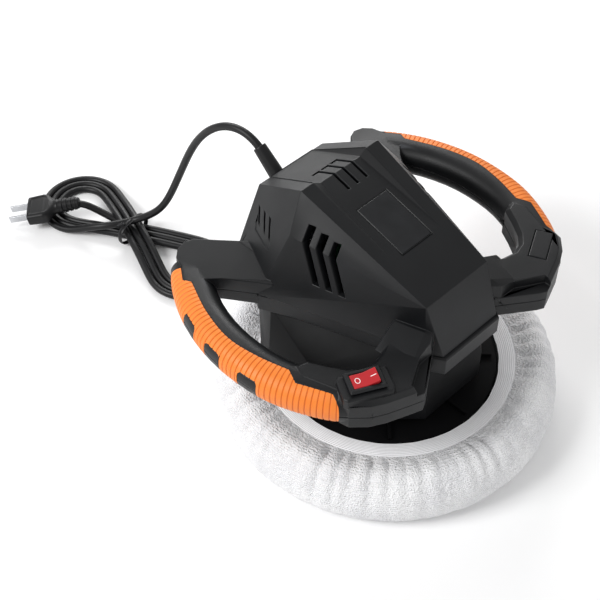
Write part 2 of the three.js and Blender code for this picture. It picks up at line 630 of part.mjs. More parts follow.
function fan() {
  const blades = 8;
  let wheel = solid(ring(SHAFT_BORE, 9, FAN_BOTTOM, FAN_BOTTOM + 7, 24))
    .add(solid(ring(SHAFT_BORE, 22, FAN_BOTTOM, FAN_BOTTOM + 1.5, 32)));
  for (let i = 0; i < blades; i += 1) {
    const blade = box(8, 21.5, -0.8, 0.8, FAN_BOTTOM + 1, FAN_BOTTOM + 7);
    wheel = wheel.add(solid(blade.rotateZ((i / blades) * 2 * Math.PI)));
  }
  return wheel;
}
add('cooling_fan', fan(), blackPlastic, motorGroup);

add('rectifier_board', box(-BOARD.half, BOARD.half, BOARD.front, BOARD.front + BOARD.thick,
  BOARD.bottom, BOARD.top), boardGreen);
const boardBack = BOARD.front + BOARD.thick + GAP;
add('bridge_rectifier', box(-8, 8, boardBack, boardBack + 4, 109, 122), magnetBlack);

// ---- Eccentric: a counterweight on the motor shaft, with the pad's stub off-centre ----
const STUB_R = 6;
const STUB_BOTTOM = 42.5;
const SHOULDER_Z = 51.1;
const WEIGHT_BOTTOM = 59;
const WEIGHT_TOP = 71;
const BOLT_R = 2.8;

function counterweight() {
  const half = new THREE.Shape();
  half.absarc(0, 0, 34, 0, Math.PI);
  const weight = solid(prism(half, WEIGHT_BOTTOM + 2, WEIGHT_TOP, 0, 12));
  const stub = solid(disc(STUB_R, STUB_BOTTOM, WEIGHT_TOP - 2, 20)).translate([0, -ORBIT, 0]);
  const shoulder = solid(disc(STUB_R + 2.5, SHOULDER_Z, WEIGHT_BOTTOM + 1, 20))
    .translate([0, -ORBIT, 0]);
  const boltHole = solid(disc(BOLT_R + GAP, STUB_BOTTOM - 1, 55, 16)).translate([0, -ORBIT, 0]);
  return solid(disc(12, WEIGHT_BOTTOM, WEIGHT_TOP)).add(weight).add(stub).add(shoulder)
    .subtract(solid(disc(SHAFT_BORE, SHAFT_BOTTOM - GAP, WEIGHT_TOP + 1, 20))).subtract(boltHole);
}
add('counterweight', counterweight(), castIron, motorGroup);

// ---- Pad, round its own centre ----
const BEARING_BORE = STUB_R + GAP;
const HUB_R = 18;
const PLATE_R = 79.5;
const PLATE_BOTTOM = 34;
const PLATE_TOP = 38;
const BONNET_WALL = 3.2;

add('pad_bearing', ring(BEARING_BORE, 13, 42.5, 50.8), steel);
add('pad_washer', ring(BOLT_R + GAP, 8.5, 40, 42.2, 20), steel);
add('pad_bolt', solid(disc(6.5, 36.2, 39.7, 6)).add(solid(disc(BOLT_R, 39, 54, 16))), steel);

// A disc with a bearing hub in the middle and ribs on its upper face.
function backingPlate() {
  const ribs = 8;
  let plate = solid(turned([[11, PLATE_BOTTOM], [PLATE_R, PLATE_BOTTOM], [PLATE_R, PLATE_TOP],
    [HUB_R, PLATE_TOP], [HUB_R, 50.8], [13.3, 50.8], [13.3, 42.2], [11, 42.2],
    [11, PLATE_BOTTOM]], 32));
  for (let i = 0; i < ribs; i += 1) {
    const rib = box(HUB_R - 1, 76, -1, 1, PLATE_TOP - 1, PLATE_TOP + 2.5);
    plate = plate.add(solid(rib.rotateZ((i / ribs) * 2 * Math.PI)));
  }
  return plate;
}
add('backing_plate', backingPlate(), blackPlastic);

// The bonnet's outer surface from the middle of its working face out and over the pad's edge
// to the hem, and its inner surface back again, a wall's thickness in.
const SEAM_R = 92.7; // where the terry meets the hem band
const BONNET_OUTER = [[0, 0], [110, 0], [119, 4.5], [BONNET_R, 15], [BONNET_R, 27], [119.5, 40],
  [111, 48.5], [105, BONNET_TOP], [100, 46], [SEAM_R, 42]];
const BONNET_INNER = [[SEAM_R, 38.8], [100, 42.4], [106, 45.4], [110, 45.2], [117, 38.4],
  [120.8, 26.5], [120.8, 15.6], [116.5, 7], [109.4, BONNET_WALL], [0, BONNET_WALL]];
const FOAM = [[0, BONNET_WALL + GAP], [109, BONNET_WALL + GAP], [116, 7.2], [PAD_R + 2.4, 16],
  [PAD_R + 2.4, 26.4], [116.7, 38], [109.8, 44.8], [106, 45], [100.2, 42], [SEAM_R, 38.4],
  [80, 38.1], [PLATE_R + GAP, PLATE_BOTTOM - GAP], [0, PLATE_BOTTOM - GAP]];

add('bonnet', turned([...BONNET_OUTER, ...BONNET_INNER], 40), terry);
add('bonnet_hem', ring(HEM_R, SEAM_R - GAP, 38.6, 41.8, 40), terry);
add('foam_pad', turned(FOAM, 32), foam);

// ---- Strain relief, clamp and the lead's inner end ----
const RELIEF = [[CORD_R + GAP, -1], [8.5, -1], [8.5, 1.5], [5.9, 2.5], [5.9, 20],
  [4.9, RELIEF_LENGTH], [CORD_R + GAP, RELIEF_LENGTH], [CORD_R + GAP, -1]];
add('strain_relief', onReliefAxis(turned(RELIEF, 20)), cordBlack);

const cordSection = () => new THREE.Shape().absarc(0, 0, CORD_R, 0, 2 * Math.PI);

function cordAlong(points, steps) {
  const line = new THREE.CatmullRomCurve3(points.map((point) => new THREE.Vector3(...point)),
    false, 'centripetal');
  return new THREE.ExtrudeGeometry(cordSection(), {
    steps, curveSegments: 4, bevelEnabled: false, extrudePath: line,
  });
}

const CLAMP_Z = FLOOR + 5;
const INNER_LEAD = [[0, 62, CLAMP_Z], [0, 70, CLAMP_Z], [0, 77, CLAMP_Z + 1.6], [0, 84.3, 116.5],
  [0, 92, 122.9], [0, 103.5, 132.5], [0, 114.6, 141.7]];
add('cord_lead', cordAlong(INNER_LEAD, 14), cordBlack);

const clamp = solid(box(-13.5, 13.5, 65.5, 72.5, FLOOR + GAP, CLAMP_Z + 5.5))
  .subtract(solid(box(-3.5, 3.5, 60, 90, CLAMP_Z - 3.5, CLAMP_Z + 3.5)))
  .subtract(posts(CLAMP_SCREWS, SCREW_HOLE_R, 100, 130));
add('cord_clamp', clamp, blackPlastic);
CLAMP_SCREWS.forEach(([x, y], i) => {
  add(`clamp_screw_${i + 1}`, screw(CLAMP_Z + 5.8 + HEAD_HEIGHT, SHELL_BOTTOM + 1.2), steel)
    .position.set(x, y, 0);
});

// ---- The cord outside: over in an arc from the relief, down to a tied figure-eight hank ----
const CORD_ROUTE = [[0, 115, 142.1], [0, 122.7, 148.5], [0, 130.4, 154.9], [-0.7, 138.3, 159.6],
  [-1.8, 147, 161.2], [-3.5, 157.5, 159.4], [-5.5, 168, 153.6], [-7.6, 178, 144.5],
  [-9.8, 187.5, 131.5], [-11.8, 196, 115], [-13.6, 203.5, 97], [-15.3, 210.8, 79],
  [-16.9, 218, 62], [-18.6, 225.5, 47], [-21, 234, 34.5], [-25, 243.5, 25]];
add('cord', cordAlong(CORD_ROUTE, 36), cordBlack);

const TIE_PLACE = [-34, 252];
const HANK_TURN = 7; // degrees, the hank's long axis from +Y towards -X
const LOBE_OUT = 60; // from the tie to the middle of each lobe
const LOBE_R = 36.5;
const LOBE_TOP = 6.8;
const WAIST = [16, 21]; // half width and height of the bundle under the tie
const TIE_HALF = 2.5;

const hankGroup = new THREE.Group();
hankGroup.position.set(...TIE_PLACE, 0);
hankGroup.rotation.z = THREE.MathUtils.degToRad(HANK_TURN);
polisher.add(hankGroup);

function lobe(side) {
  const rim = [];
  for (let i = 0; i < 20; i += 1) {
    const angle = (i / 20) * 2 * Math.PI;
    rim.push([LOBE_R * Math.cos(angle), side * (LOBE_OUT + LOBE_R * Math.sin(angle))]);
  }
  const plan = [...rim, [WAIST[0], side * 6], [-WAIST[0], side * 6]];
  return solid(hull([0.2, LOBE_TOP].flatMap((z) => plan.map(([x, y]) => [x, y, z]))));
}

function hank() {
  const ramp = (y, z) => [[-WAIST[0], y, z], [WAIST[0], y, z]];
  const waist = hull([...ramp(-26, 2), ...ramp(26, 2), ...ramp(-26, LOBE_TOP), ...ramp(26, LOBE_TOP),
    ...ramp(-9, WAIST[1]), ...ramp(9, WAIST[1])]);
  return lobe(1).add(lobe(-1)).add(solid(waist));
}
add('cord_hank', hank(), cordBlack, hankGroup);

function tie() {
  const [half, height] = WAIST;
  return solid(box(-half - 1.8, half + 1.8, -TIE_HALF, TIE_HALF, 0.2, height + 1.8))
    .subtract(solid(box(-half - GAP, half + GAP, -9, 9, 2 - GAP, height + GAP)));
}
add('cord_tie', tie(), cordBlack, hankGroup);

// ---- Plug, lying over the hank's outer lobe, nose down ----
const PLUG_PLACE = [-51, 300, 19.3];
const PLUG_HEADING = 49.5; // degrees from +Y towards -X
const PLUG_DIP = 10;
const PIN_PITCH = 12.7;

const plugGroup = new THREE.Group();
plugGroup.position.set(...PLUG_PLACE);
plugGroup.rotation.set(THREE.MathUtils.degToRad(-PLUG_DIP), 0,
  THREE.MathUtils.degToRad(PLUG_HEADING), 'ZXY');
polisher.add(plugGroup);

function plugBody() {
  const slice = (y, halfWidth, halfHeight) => [-1, 1].flatMap((side) => [
    [side * halfWidth, y, -halfHeight], [side * halfWidth, y, halfHeight]]);
  const neck = solid(turned([[0, 0], [4.6, 0], [6.2, 21], [0, 21]], 16)).rotate([-90, 0, 0]);
  const flare = solid(hull([...slice(20, 6, 5), ...slice(30, 13.5, 6)]));
  const front = solid(hull([...slice(29.9, 13.5, 6), ...slice(44, 12.8, 5.6)]));
  const bore = solid(disc(CORD_R + GAP, -1, 10, 16)).rotate([-90, 0, 0]);
  const pinSlots = [-1, 1].map((side) => solid(pin(side, GAP, 37.7 - GAP)));
  return neck.add(flare).add(front).subtract(bore).subtract(pinSlots[0]).subtract(pinSlots[1]);
}

const pin = (side, grow, from) => box(side * PIN_PITCH / 2 - 0.75 - grow,
  side * PIN_PITCH / 2 + 0.75 + grow, from, 60, -3.1 - grow, 3.1 + grow);

add('plug_body', plugBody(), cordBlack, plugGroup);
add('plug_pin_1', pin(-1, 0, 37.7), steel, plugGroup);
add('plug_pin_2', pin(1, 0, 37.7), steel, plugGroup);

// The last stretch, from the hank's outer lobe up into the plug.
const TAIL_ROUTE = [[-39.5, 283.5, 10.6], [-42.2, 288.5, 12.2], [-45.3, 293.4, 15.2],
  [-48.2, 297.6, 18.6], [-51, 300, 19.3], [-57.7, 305.8, 17.8]];
add('cord_tail', cordAlong(TAIL_ROUTE, 12), cordBlack);

export default polisher;
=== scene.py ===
"""Looks of the two-handed random-orbital polisher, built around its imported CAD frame.

Sizes of pieces are in millimetres in the CAD's frame, and mesh_object turns them into metres.
The front of the machine faces -Y and its cord leaves at +Y.
"""

import math

import bmesh
import bpy
import numpy as np
from mathutils import Matrix, Vector
from mathutils.bvhtree import BVHTree


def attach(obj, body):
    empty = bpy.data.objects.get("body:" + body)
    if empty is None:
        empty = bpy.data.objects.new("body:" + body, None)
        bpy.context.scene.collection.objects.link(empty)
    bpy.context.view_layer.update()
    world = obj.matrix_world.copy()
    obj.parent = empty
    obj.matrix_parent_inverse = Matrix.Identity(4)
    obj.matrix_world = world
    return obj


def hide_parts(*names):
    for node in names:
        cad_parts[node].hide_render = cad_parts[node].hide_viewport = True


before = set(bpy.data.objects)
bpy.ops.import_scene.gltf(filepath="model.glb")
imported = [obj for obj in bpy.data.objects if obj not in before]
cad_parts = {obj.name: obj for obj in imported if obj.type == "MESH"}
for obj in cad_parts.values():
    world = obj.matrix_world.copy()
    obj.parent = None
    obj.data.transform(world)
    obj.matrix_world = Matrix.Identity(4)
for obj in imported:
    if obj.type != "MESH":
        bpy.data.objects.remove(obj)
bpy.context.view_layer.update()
MM = 0.001
SEED = 11

scene = bpy.context.scene


# ---- Camera ----
CAMERA_AT = Vector((-0.438774, -0.360827, 0.723945))
CAMERA_AHEAD = Vector((0.467, 0.479, -0.743))
CAMERA_RIGHT = Vector((0.716, -0.698, 0.0))
CAMERA_LENS, CAMERA_SENSOR = 73.48, 36.0


def add_camera():
    data = bpy.data.cameras.new("camera")
    data.sensor_width = CAMERA_SENSOR
    data.lens = CAMERA_LENS
    data.clip_start, data.clip_end = 0.05, 30.0
    camera = bpy.data.objects.new("camera", data)
    scene.collection.objects.link(camera)
    forward = CAMERA_AHEAD.normalized()
    right = CAMERA_RIGHT.normalized()
    up = right.cross(forward).normalized()
    turn = Matrix((right, up, -forward)).transposed()
    camera.matrix_world = Matrix.Translation(CAMERA_AT) @ turn.to_4x4()
    scene.camera = camera


add_camera()
scene.view_settings.view_transform = "Standard"


# ---- Mesh helpers ----
def link(name, data):
    obj = bpy.data.objects.new(name, data)
    scene.collection.objects.link(obj)
    return obj


def mesh_object(name, points, faces, smooth_angle=30.0):
    """A mesh object from points in millimetres."""
    mesh = bpy.data.meshes.new(name)
    mesh.from_pydata([tuple(float(c) * MM for c in p) for p in points], [], faces)
    mesh.validate()
    finish_normals(mesh, smooth_angle)
    return link(name, mesh)


def finish_normals(mesh, smooth_angle=30.0):
    bm = bmesh.new()
    bm.from_mesh(mesh)
    bmesh.ops.recalc_face_normals(bm, faces=bm.faces)
    bm.to_mesh(mesh)
    bm.free()
    mesh.shade_smooth()
    if smooth_angle < 180:
        mesh.set_sharp_from_angle(angle=math.radians(smooth_angle))


def band(a, b, size):
    """Faces between two rings of that size, whose points start at a and at b."""
    return [(a + j, a + (j + 1) % size, b + (j + 1) % size, b + j) for j in range(size)]


def loft(rings, closed_loop=False):
    """Points and faces through rings of equal length, capped at both ends unless it is a loop."""
    count, size = len(rings), len(rings[0])
    points = [p for ring in rings for p in ring]
    faces = []
    for i in range(count if closed_loop else count - 1):
        faces += band(i * size, ((i + 1) % count) * size, size)
    if not closed_loop:
        faces.append(tuple(range(size))[::-1])
        faces.append(tuple(range((count - 1) * size, count * size)))
    return points, faces


def revolve(profile, segments, warp=None):
    """A body of revolution about Z from a closed list of (radius, height).

    warp takes an angle, a radius and a height, and gives the radius and height to use there.
    """
    rings = []
    for i in range(segments):
        a = 2 * math.pi * i / segments
        ring = []
        for r, z in profile:
            if warp:
                r, z = warp(a, r, z)
            ring.append((r * math.cos(a), r * math.sin(a), z))
        rings.append(ring)
    return loft(rings, closed_loop=True)


def boolean(obj, cutter, operation):
    """Join or cut obj with the cutter, which is then removed."""
    modifier = obj.modifiers.new("cut", "BOOLEAN")
    modifier.object = cutter
    modifier.operation = operation
    modifier.solver = "EXACT"
    apply_modifiers(obj)
    bpy.data.objects.remove(cutter, do_unlink=True)


def apply_modifiers(obj):
    bpy.context.view_layer.update()
    evaluated = obj.evaluated_get(bpy.context.evaluated_depsgraph_get())
    mesh = bpy.data.meshes.new_from_object(evaluated)
    obj.modifiers.clear()
    obj.data = mesh


def resample(points, step):
    """Points at even steps along a polyline."""
    points = np.asarray(points, float)
    lengths = np.linalg.norm(np.diff(points, axis=0), axis=1)
    along = np.concatenate([[0], np.cumsum(lengths)])
    marks = np.linspace(0, along[-1], max(2, int(round(along[-1] / step)) + 1))
    return np.stack([np.interp(marks, along, points[:, i]) for i in range(3)], axis=1)


SPAN_STEPS = 24  # points on each span of a curve


def spline_through(points, per_span=SPAN_STEPS):
    """A centripetal Catmull-Rom line through the points."""
    p = np.asarray(points, float)
    p = np.vstack([2 * p[0] - p[1], p, 2 * p[-1] - p[-2]])
    out = []
    for i in range(1, len(p) - 2):
        knots = [0.0]
        for j in range(3):
            gap = np.linalg.norm(p[i + j] - p[i + j - 1])
            knots.append(knots[-1] + math.sqrt(max(gap, 1e-9)))
        t0, t1, t2, t3 = knots
        for t in np.linspace(t1, t2, per_span, endpoint=False):
            a1 = (t1 - t) / (t1 - t0) * p[i - 1] + (t - t0) / (t1 - t0) * p[i]
            a2 = (t2 - t) / (t2 - t1) * p[i] + (t - t1) / (t2 - t1) * p[i + 1]
            a3 = (t3 - t) / (t3 - t2) * p[i + 1] + (t - t2) / (t3 - t2) * p[i + 2]
            b1 = (t2 - t) / (t2 - t0) * a1 + (t - t0) / (t2 - t0) * a2
            b2 = (t3 - t) / (t3 - t1) * a2 + (t - t1) / (t3 - t1) * a3
            out.append((t2 - t) / (t2 - t1) * b1 + (t - t1) / (t2 - t1) * b2)
    out.append(p[-2])
    return np.array(out)


# ---- Materials ----
class Nodes:
    """Short ways to make a material's nodes and join them."""

    def __init__(self, name):
        self.material = bpy.data.materials.new(name)
        self.material.use_nodes = True
        self.tree = self.material.node_tree
        self.shader = self.tree.nodes["Principled BSDF"]
        self.coords = self.tree.nodes.new("ShaderNodeTexCoord").outputs["Object"]

    def new(self, kind, inputs=None, **settings):
        node = self.tree.nodes.new(kind)
        for key, value in settings.items():
            setattr(node, key, value)
        for key, value in (inputs or {}).items():
            self.put(node.inputs[key], value)
        return node

    def put(self, socket, value):
        if isinstance(value, bpy.types.NodeSocket):
            self.tree.links.new(value, socket)
        else:
            socket.default_value = value

    def noise(self, scale, detail=2.0):
        node = self.new("ShaderNodeTexNoise", {"Vector": self.coords, "Scale": scale,
                                               "Detail": detail})
        return node.outputs["Fac"]

    def ramp(self, value, low, high, to_low=0.0, to_high=1.0):
        node = self.new("ShaderNodeMapRange", {"Value": value, "From Min": low, "From Max": high,
                                               "To Min": to_low, "To Max": to_high})
        return node.outputs["Result"]

    def math(self, operation, a, b=0.0):
        return self.new("ShaderNodeMath", {0: a, 1: b}, operation=operation).outputs[0]

    def mix(self, factor, a, b):
        node = self.new("ShaderNodeMix", data_type="RGBA")
        self.put(node.inputs["Factor"], factor)
        self.put(node.inputs["A"], a)
        self.put(node.inputs["B"], b)
        return node.outputs["Result"]

    def bump(self, height, distance, strength):
        node = self.new("ShaderNodeBump", {"Height": height, "Strength": strength,
                                           "Distance": distance})
        return node.outputs["Normal"]

    def round_coords(self):
        """Distance from the Z axis, angle about it, and height."""
        parts = self.new("ShaderNodeSeparateXYZ", {"Vector": self.coords})
        x, y = parts.outputs["X"], parts.outputs["Y"]
        square = self.math("ADD", self.math("POWER", x, 2.0), self.math("POWER", y, 2.0))
        return self.math("SQRT", square), self.math("ARCTAN2", y, x), parts.outputs["Z"]

    def set(self, **values):
        """Put values on the shader's sockets, named with _ for each space."""
        for key, value in values.items():
            self.put(self.shader.inputs[key.replace("_", " ")], value)


def rgb(r, g, b):
    return (r, g, b, 1.0)


def scaled(colour, share):
    """The colour made darker, or lighter where the share is over 1."""
    return rgb(*[c * share for c in colour[:3]])


def painted_light_mask(n, low, high):
    """0 to 1 as the pointiness goes from low to high: a mask for painted highlights on crests, or for
    painted shade in hollows where high is the lower.
    """
    geometry = n.new("ShaderNodeNewGeometry")
    return n.ramp(geometry.outputs["Pointiness"], low, high)


def moulded(name, colour, highlight_colour, roughness, grain=0.00006, grain_scale=1500.0, shine=0.3):
    """Moulded plastic: a fine spark-eroded grain, faint clouding, and a patchy painted highlight on its
    edges.
    """
    n = Nodes(name)
    clouds = n.noise(14.0, 4.0)
    patchy = n.ramp(n.noise(60.0, 3.0), 0.3, 0.7, 0.25, 1.0)
    # painted highlight on the sharper edges, in patches
    highlit_edges = n.math("MULTIPLY", painted_light_mask(n, 0.53, 0.66), patchy)
    shade = n.mix(n.ramp(clouds, 0.35, 0.65), colour, scaled(colour, 1.28))
    n.set(Base_Color=n.mix(highlit_edges, shade, highlight_colour))
    smudge = n.ramp(n.noise(30.0, 3.0), 0.3, 0.7, roughness - 0.05, roughness + 0.06)
    n.set(Roughness=smudge)
    n.set(Normal=n.bump(n.noise(grain_scale, 2.0), grain, 0.8))
    n.set(Specular_IOR_Level=shine)
    return n.material


def rubber():
    """Soft orange over-moulding: satin, with painted shade in its grooves and a painted highlight on
    its ribs.
    """
    n = Nodes("orange_rubber_look")
    # painted shade in the grooves
    painted_groove_shade = painted_light_mask(n, 0.5, 0.42)
    # painted highlight on the ribs' crests
    crest = painted_light_mask(n, 0.51, 0.57)
    clouds = n.ramp(n.noise(22.0, 4.0), 0.35, 0.65)
    shade = n.mix(clouds, rgb(0.66, 0.142, 0.006), rgb(0.71, 0.162, 0.008))
    # paler on the ribs' crests: painted highlight
    shade = n.mix(crest, shade, rgb(0.77, 0.200, 0.016))
    # darker in the grooves: painted shade
    n.set(Base_Color=n.mix(painted_groove_shade, shade, rgb(0.42, 0.075, 0.004)))
    n.set(Roughness=n.ramp(n.noise(45.0, 3.0), 0.3, 0.7, 0.46, 0.58))
    n.set(Normal=n.bump(n.noise(1300.0, 2.0), 0.00004, 0.7))
    return n.material


TERRY_ROW = 0.0023  # metres between two rows of loops
HEM_THREAD = 0.00125  # metres between two of the hem's threads


def terry_cloth(name, loops, colour, shadow, depth):
    """Looped cotton: small loops in wandering rows, uneven in height, darker between them."""
    n = Nodes(name)
    radius, around, height = n.round_coords()
    out = n.math("SUBTRACT", radius, height)
    wander = n.math("MULTIPLY", n.math("SUBTRACT", n.noise(60.0, 2.0), 0.5), 4.0)
    courses = n.math("ADD", n.math("ADD", n.math("MULTIPLY", out, 2 * math.pi / TERRY_ROW), wander),
                     n.math("MULTIPLY", around, 18.0))
    rows = n.math("SINE", courses)
    cells = n.new("ShaderNodeTexVoronoi", {"Vector": n.coords, "Scale": loops, "Randomness": 0.85})
    loop_height = n.ramp(cells.outputs["Distance"], 0.05, 0.6, 1.0, 0.0)
    surface = n.math("ADD", n.math("ADD", loop_height, n.math("MULTIPLY", rows, 0.17)),
                     n.math("MULTIPLY", n.noise(2600.0, 2.0), 0.3))
    patches = n.ramp(n.noise(38.0, 4.0), 0.35, 0.65, 0.0, 0.35)
    tone = n.math("ADD", n.math("MULTIPLY", surface, 0.62), patches)
    n.set(Base_Color=n.mix(n.ramp(tone, -0.05, 0.75), shadow, colour))
    n.set(Roughness=0.95, Sheen_Weight=0.3, Sheen_Roughness=0.5)
    n.set(Normal=n.bump(surface, depth, 0.9))
    return n.material


def elastic_band():
    """The hem: close woven elastic with thread rows running round it."""
    n = Nodes("hem_band_look")
    radius, around, _ = n.round_coords()
    rows = n.math("SINE", n.math("MULTIPLY", radius, 2 * math.pi / HEM_THREAD))
    picks = n.math("SINE", n.math("MULTIPLY", around, 620.0))
    weave = n.math("ADD", n.math("MULTIPLY", rows, 0.6), n.math("MULTIPLY", picks, 0.4))
    tone = n.ramp(n.math("ADD", weave, n.math("MULTIPLY", n.noise(120.0, 3.0), 1.5)), -0.8, 1.9)
    n.set(Base_Color=n.mix(tone, rgb(0.78, 0.78, 0.80), rgb(0.90, 0.90, 0.915)))
    n.set(Roughness=0.8, Sheen_Weight=0.2)
    n.set(Normal=n.bump(weave, 0.00012, 0.6))
    return n.material


def metal(name, colour, roughness, scratch=900.0):
    """Turned or rolled metal with fine marks and a little dulling."""
    n = Nodes(name)
    dull = n.ramp(n.noise(40.0, 4.0), 0.35, 0.65)
    n.set(Base_Color=n.mix(dull, colour, scaled(colour, 0.72)), Metallic=1.0)
    n.set(Roughness=n.ramp(n.noise(scratch, 2.0), 0.2, 0.8, roughness - 0.08, roughness + 0.1))
    n.set(Normal=n.bump(n.noise(scratch, 3.0), 0.00002, 0.5))
    return n.material


def cellular(name, colour, pores, depth):
    """Open-cell foam: painted shade in the pores between rounded walls."""
    n = Nodes(name)
    cells = n.new("ShaderNodeTexVoronoi", {"Vector": n.coords, "Scale": pores})
    wall = n.ramp(cells.outputs["Distance"], 0.1, 0.6)
    # darker in the pores: painted shade
    n.set(Base_Color=n.mix(wall, scaled(colour, 0.35), colour), Roughness=0.95)
    n.set(Normal=n.bump(wall, depth, 0.8))
    return n.material


def circuit_board():
    """Green lacquer over a grid of tracks."""
    n = Nodes("board_look")
    tracks = n.new("ShaderNodeTexBrick", {"Vector": n.coords, "Scale": 240.0,
                                          "Color1": rgb(0.02, 0.17, 0.06),
                                          "Color2": rgb(0.03, 0.22, 0.08),
                                          "Mortar": rgb(0.05, 0.30, 0.12)})
    n.set(Base_Color=tracks.outputs["Color"], Roughness=0.4)
    n.set(Normal=n.bump(tracks.outputs["Fac"], 0.00003, 0.5))
    return n.material


def windings():
    """Enamelled copper wire, wound in close strands."""
    n = Nodes("copper_look")
    strands = n.new("ShaderNodeTexWave", {"Vector": n.coords, "Scale": 620.0, "Distortion": 3.0},
                    bands_direction="DIAGONAL")
    n.set(Base_Color=n.mix(strands.outputs["Fac"], rgb(0.30, 0.09, 0.025), rgb(0.75, 0.33, 0.13)))
    n.set(Metallic=0.9, Roughness=0.35)
    n.set(Normal=n.bump(strands.outputs["Fac"], 0.00012, 0.8))
    return n.material


def paint_mark():
    """White paint on the rocker."""
    n = Nodes("mark_look")
    n.set(Base_Color=n.mix(n.noise(900.0, 2.0), rgb(0.86, 0.80, 0.78), rgb(0.95, 0.93, 0.92)))
    n.set(Roughness=0.5, Normal=n.bump(n.noise(1800.0), 0.00001, 0.5))
    return n.material


BLACK = rgb(0.0030, 0.0033, 0.0040)
# the painted highlight on the black plastics' edges
EDGE_HIGHLIGHT = rgb(0.040, 0.042, 0.047)
# Each moulded look's second colour is the painted highlight on its edges.
looks = {
    "black_plastic": moulded("black_plastic_look", BLACK, EDGE_HIGHLIGHT, 0.43),
    # a darker, duller copy of the black plastic: painted shade for the skirt in the housing's shadow,
    # and for parts inside
    "dark_plastic": moulded("dark_plastic_look", rgb(0.0020, 0.0021, 0.0025), EDGE_HIGHLIGHT, 0.5, shine=0.14),
    "orange_rubber": rubber(),
    "red_plastic": moulded("red_plastic_look", rgb(0.35, 0.012, 0.016), rgb(0.58, 0.07, 0.07),
                           0.34, grain=0.00001),
    "terry": terry_cloth("terry_look", 640.0, rgb(0.89, 0.89, 0.895), rgb(0.66, 0.66, 0.685), 0.0008),
    "hem_band": elastic_band(),
    "foam": cellular("foam_look", rgb(0.035, 0.035, 0.038), 900.0, 0.0004),
    "steel": metal("steel_look", rgb(0.62, 0.63, 0.65), 0.3),
    "copper": windings(),
    "magnet": moulded("magnet_look", rgb(0.03, 0.03, 0.032), rgb(0.12, 0.12, 0.12), 0.6),
    "board": circuit_board(),
    "brass": metal("brass_look", rgb(0.70, 0.49, 0.20), 0.3),
    "iron": metal("iron_look", rgb(0.20, 0.20, 0.21), 0.5, 300.0),
    "cord": moulded("cord_look", rgb(0.0035, 0.0035, 0.004), rgb(0.03, 0.03, 0.033), 0.42,
                    grain=0.00003, grain_scale=900.0),
    # darker and duller than the black plastic: painted shade on the backing plate under the housing
    "backing": moulded("backing_look", rgb(0.0012, 0.0012, 0.0016), rgb(0.008, 0.008, 0.009), 0.62,
                       shine=0.14),
    "mark": paint_mark(),
}


def place(obj, body, look, replaces=()):
    """Give a piece its look, its body and the CAD nodes it stands for."""
    obj.data.materials.clear()
    obj.data.materials.append(looks[look])
    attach(obj, body)
    if replaces:
        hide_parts(*replaces)
    return obj


# ---- Cord: an arc down from the strain relief, then a tied figure-eight hank and the plug ----
CORD_D = 6.0
TIE_AT = (-34.0, 252.0)
HANK_TURN = math.radians(7)
TURNS = 3
LOBE_OUT, LOBE_R = 60.0, 24.8  # each end's circle: its distance from the tie, and its radius
STRAND_PITCH = 6.1
FLOOR_Z = 3.0
LOW_Z, HIGH_Z, TOP_Z = 4.8, 11.1, 17.4  # heights of the strands where they cross at the tie
LEVEL_HALF, FALL = 16.0, 46.0  # a strand keeps that height this near the tie, then sinks over FALL
WOUND_START, WOUND_OVERRUN, WOUND_STEP = 22.0, 16.0, 3.0
OVER_TIE = (-29.5, 251.0, 19.0)  # where the free stretch crosses the tie
ROUTE_STEP, SMOOTH_ROUNDS, CURVE_STEP = 1.5, 30, 5.0  # how the whole route is evened out
FREE_ROUTE = [
    (0, 122.7, 148.5), (0, 130.4, 154.9), (-0.7, 138.3, 159.6), (-1.8, 147, 161.2),
    (-3.5, 157.5, 159.4), (-5.5, 168, 153.6), (-7.6, 178, 144.5), (-9.8, 187.5, 131.5),
    (-11.8, 196, 115), (-13.6, 203.5, 97), (-15.3, 210.8, 79), (-16.9, 218, 62),
    (-18.6, 225.5, 47), (-21, 234, 34.5), (-25, 243.5, 25),
]
TAIL_ROUTE = [(-39.5, 283.5, 10.6), (-42.2, 288.5, 12.2), (-45.3, 293.4, 15.2),
              (-48.2, 297.6, 18.6), (-51, 300, 19.3), (-57.7, 305.8, 17.8)]


def ease(t):
    """0 to 1, slow at both ends."""
    t = min(1.0, max(0.0, t))
    return t * t * (3 - 2 * t)


def in_hank(x, y, z):
    """A point of the hank's own plan, put where the hank lies."""
    c, s = math.cos(HANK_TURN), math.sin(HANK_TURN)
    return TIE_AT[0] + c * x - s * y, TIE_AT[1] + s * x + c * y, z


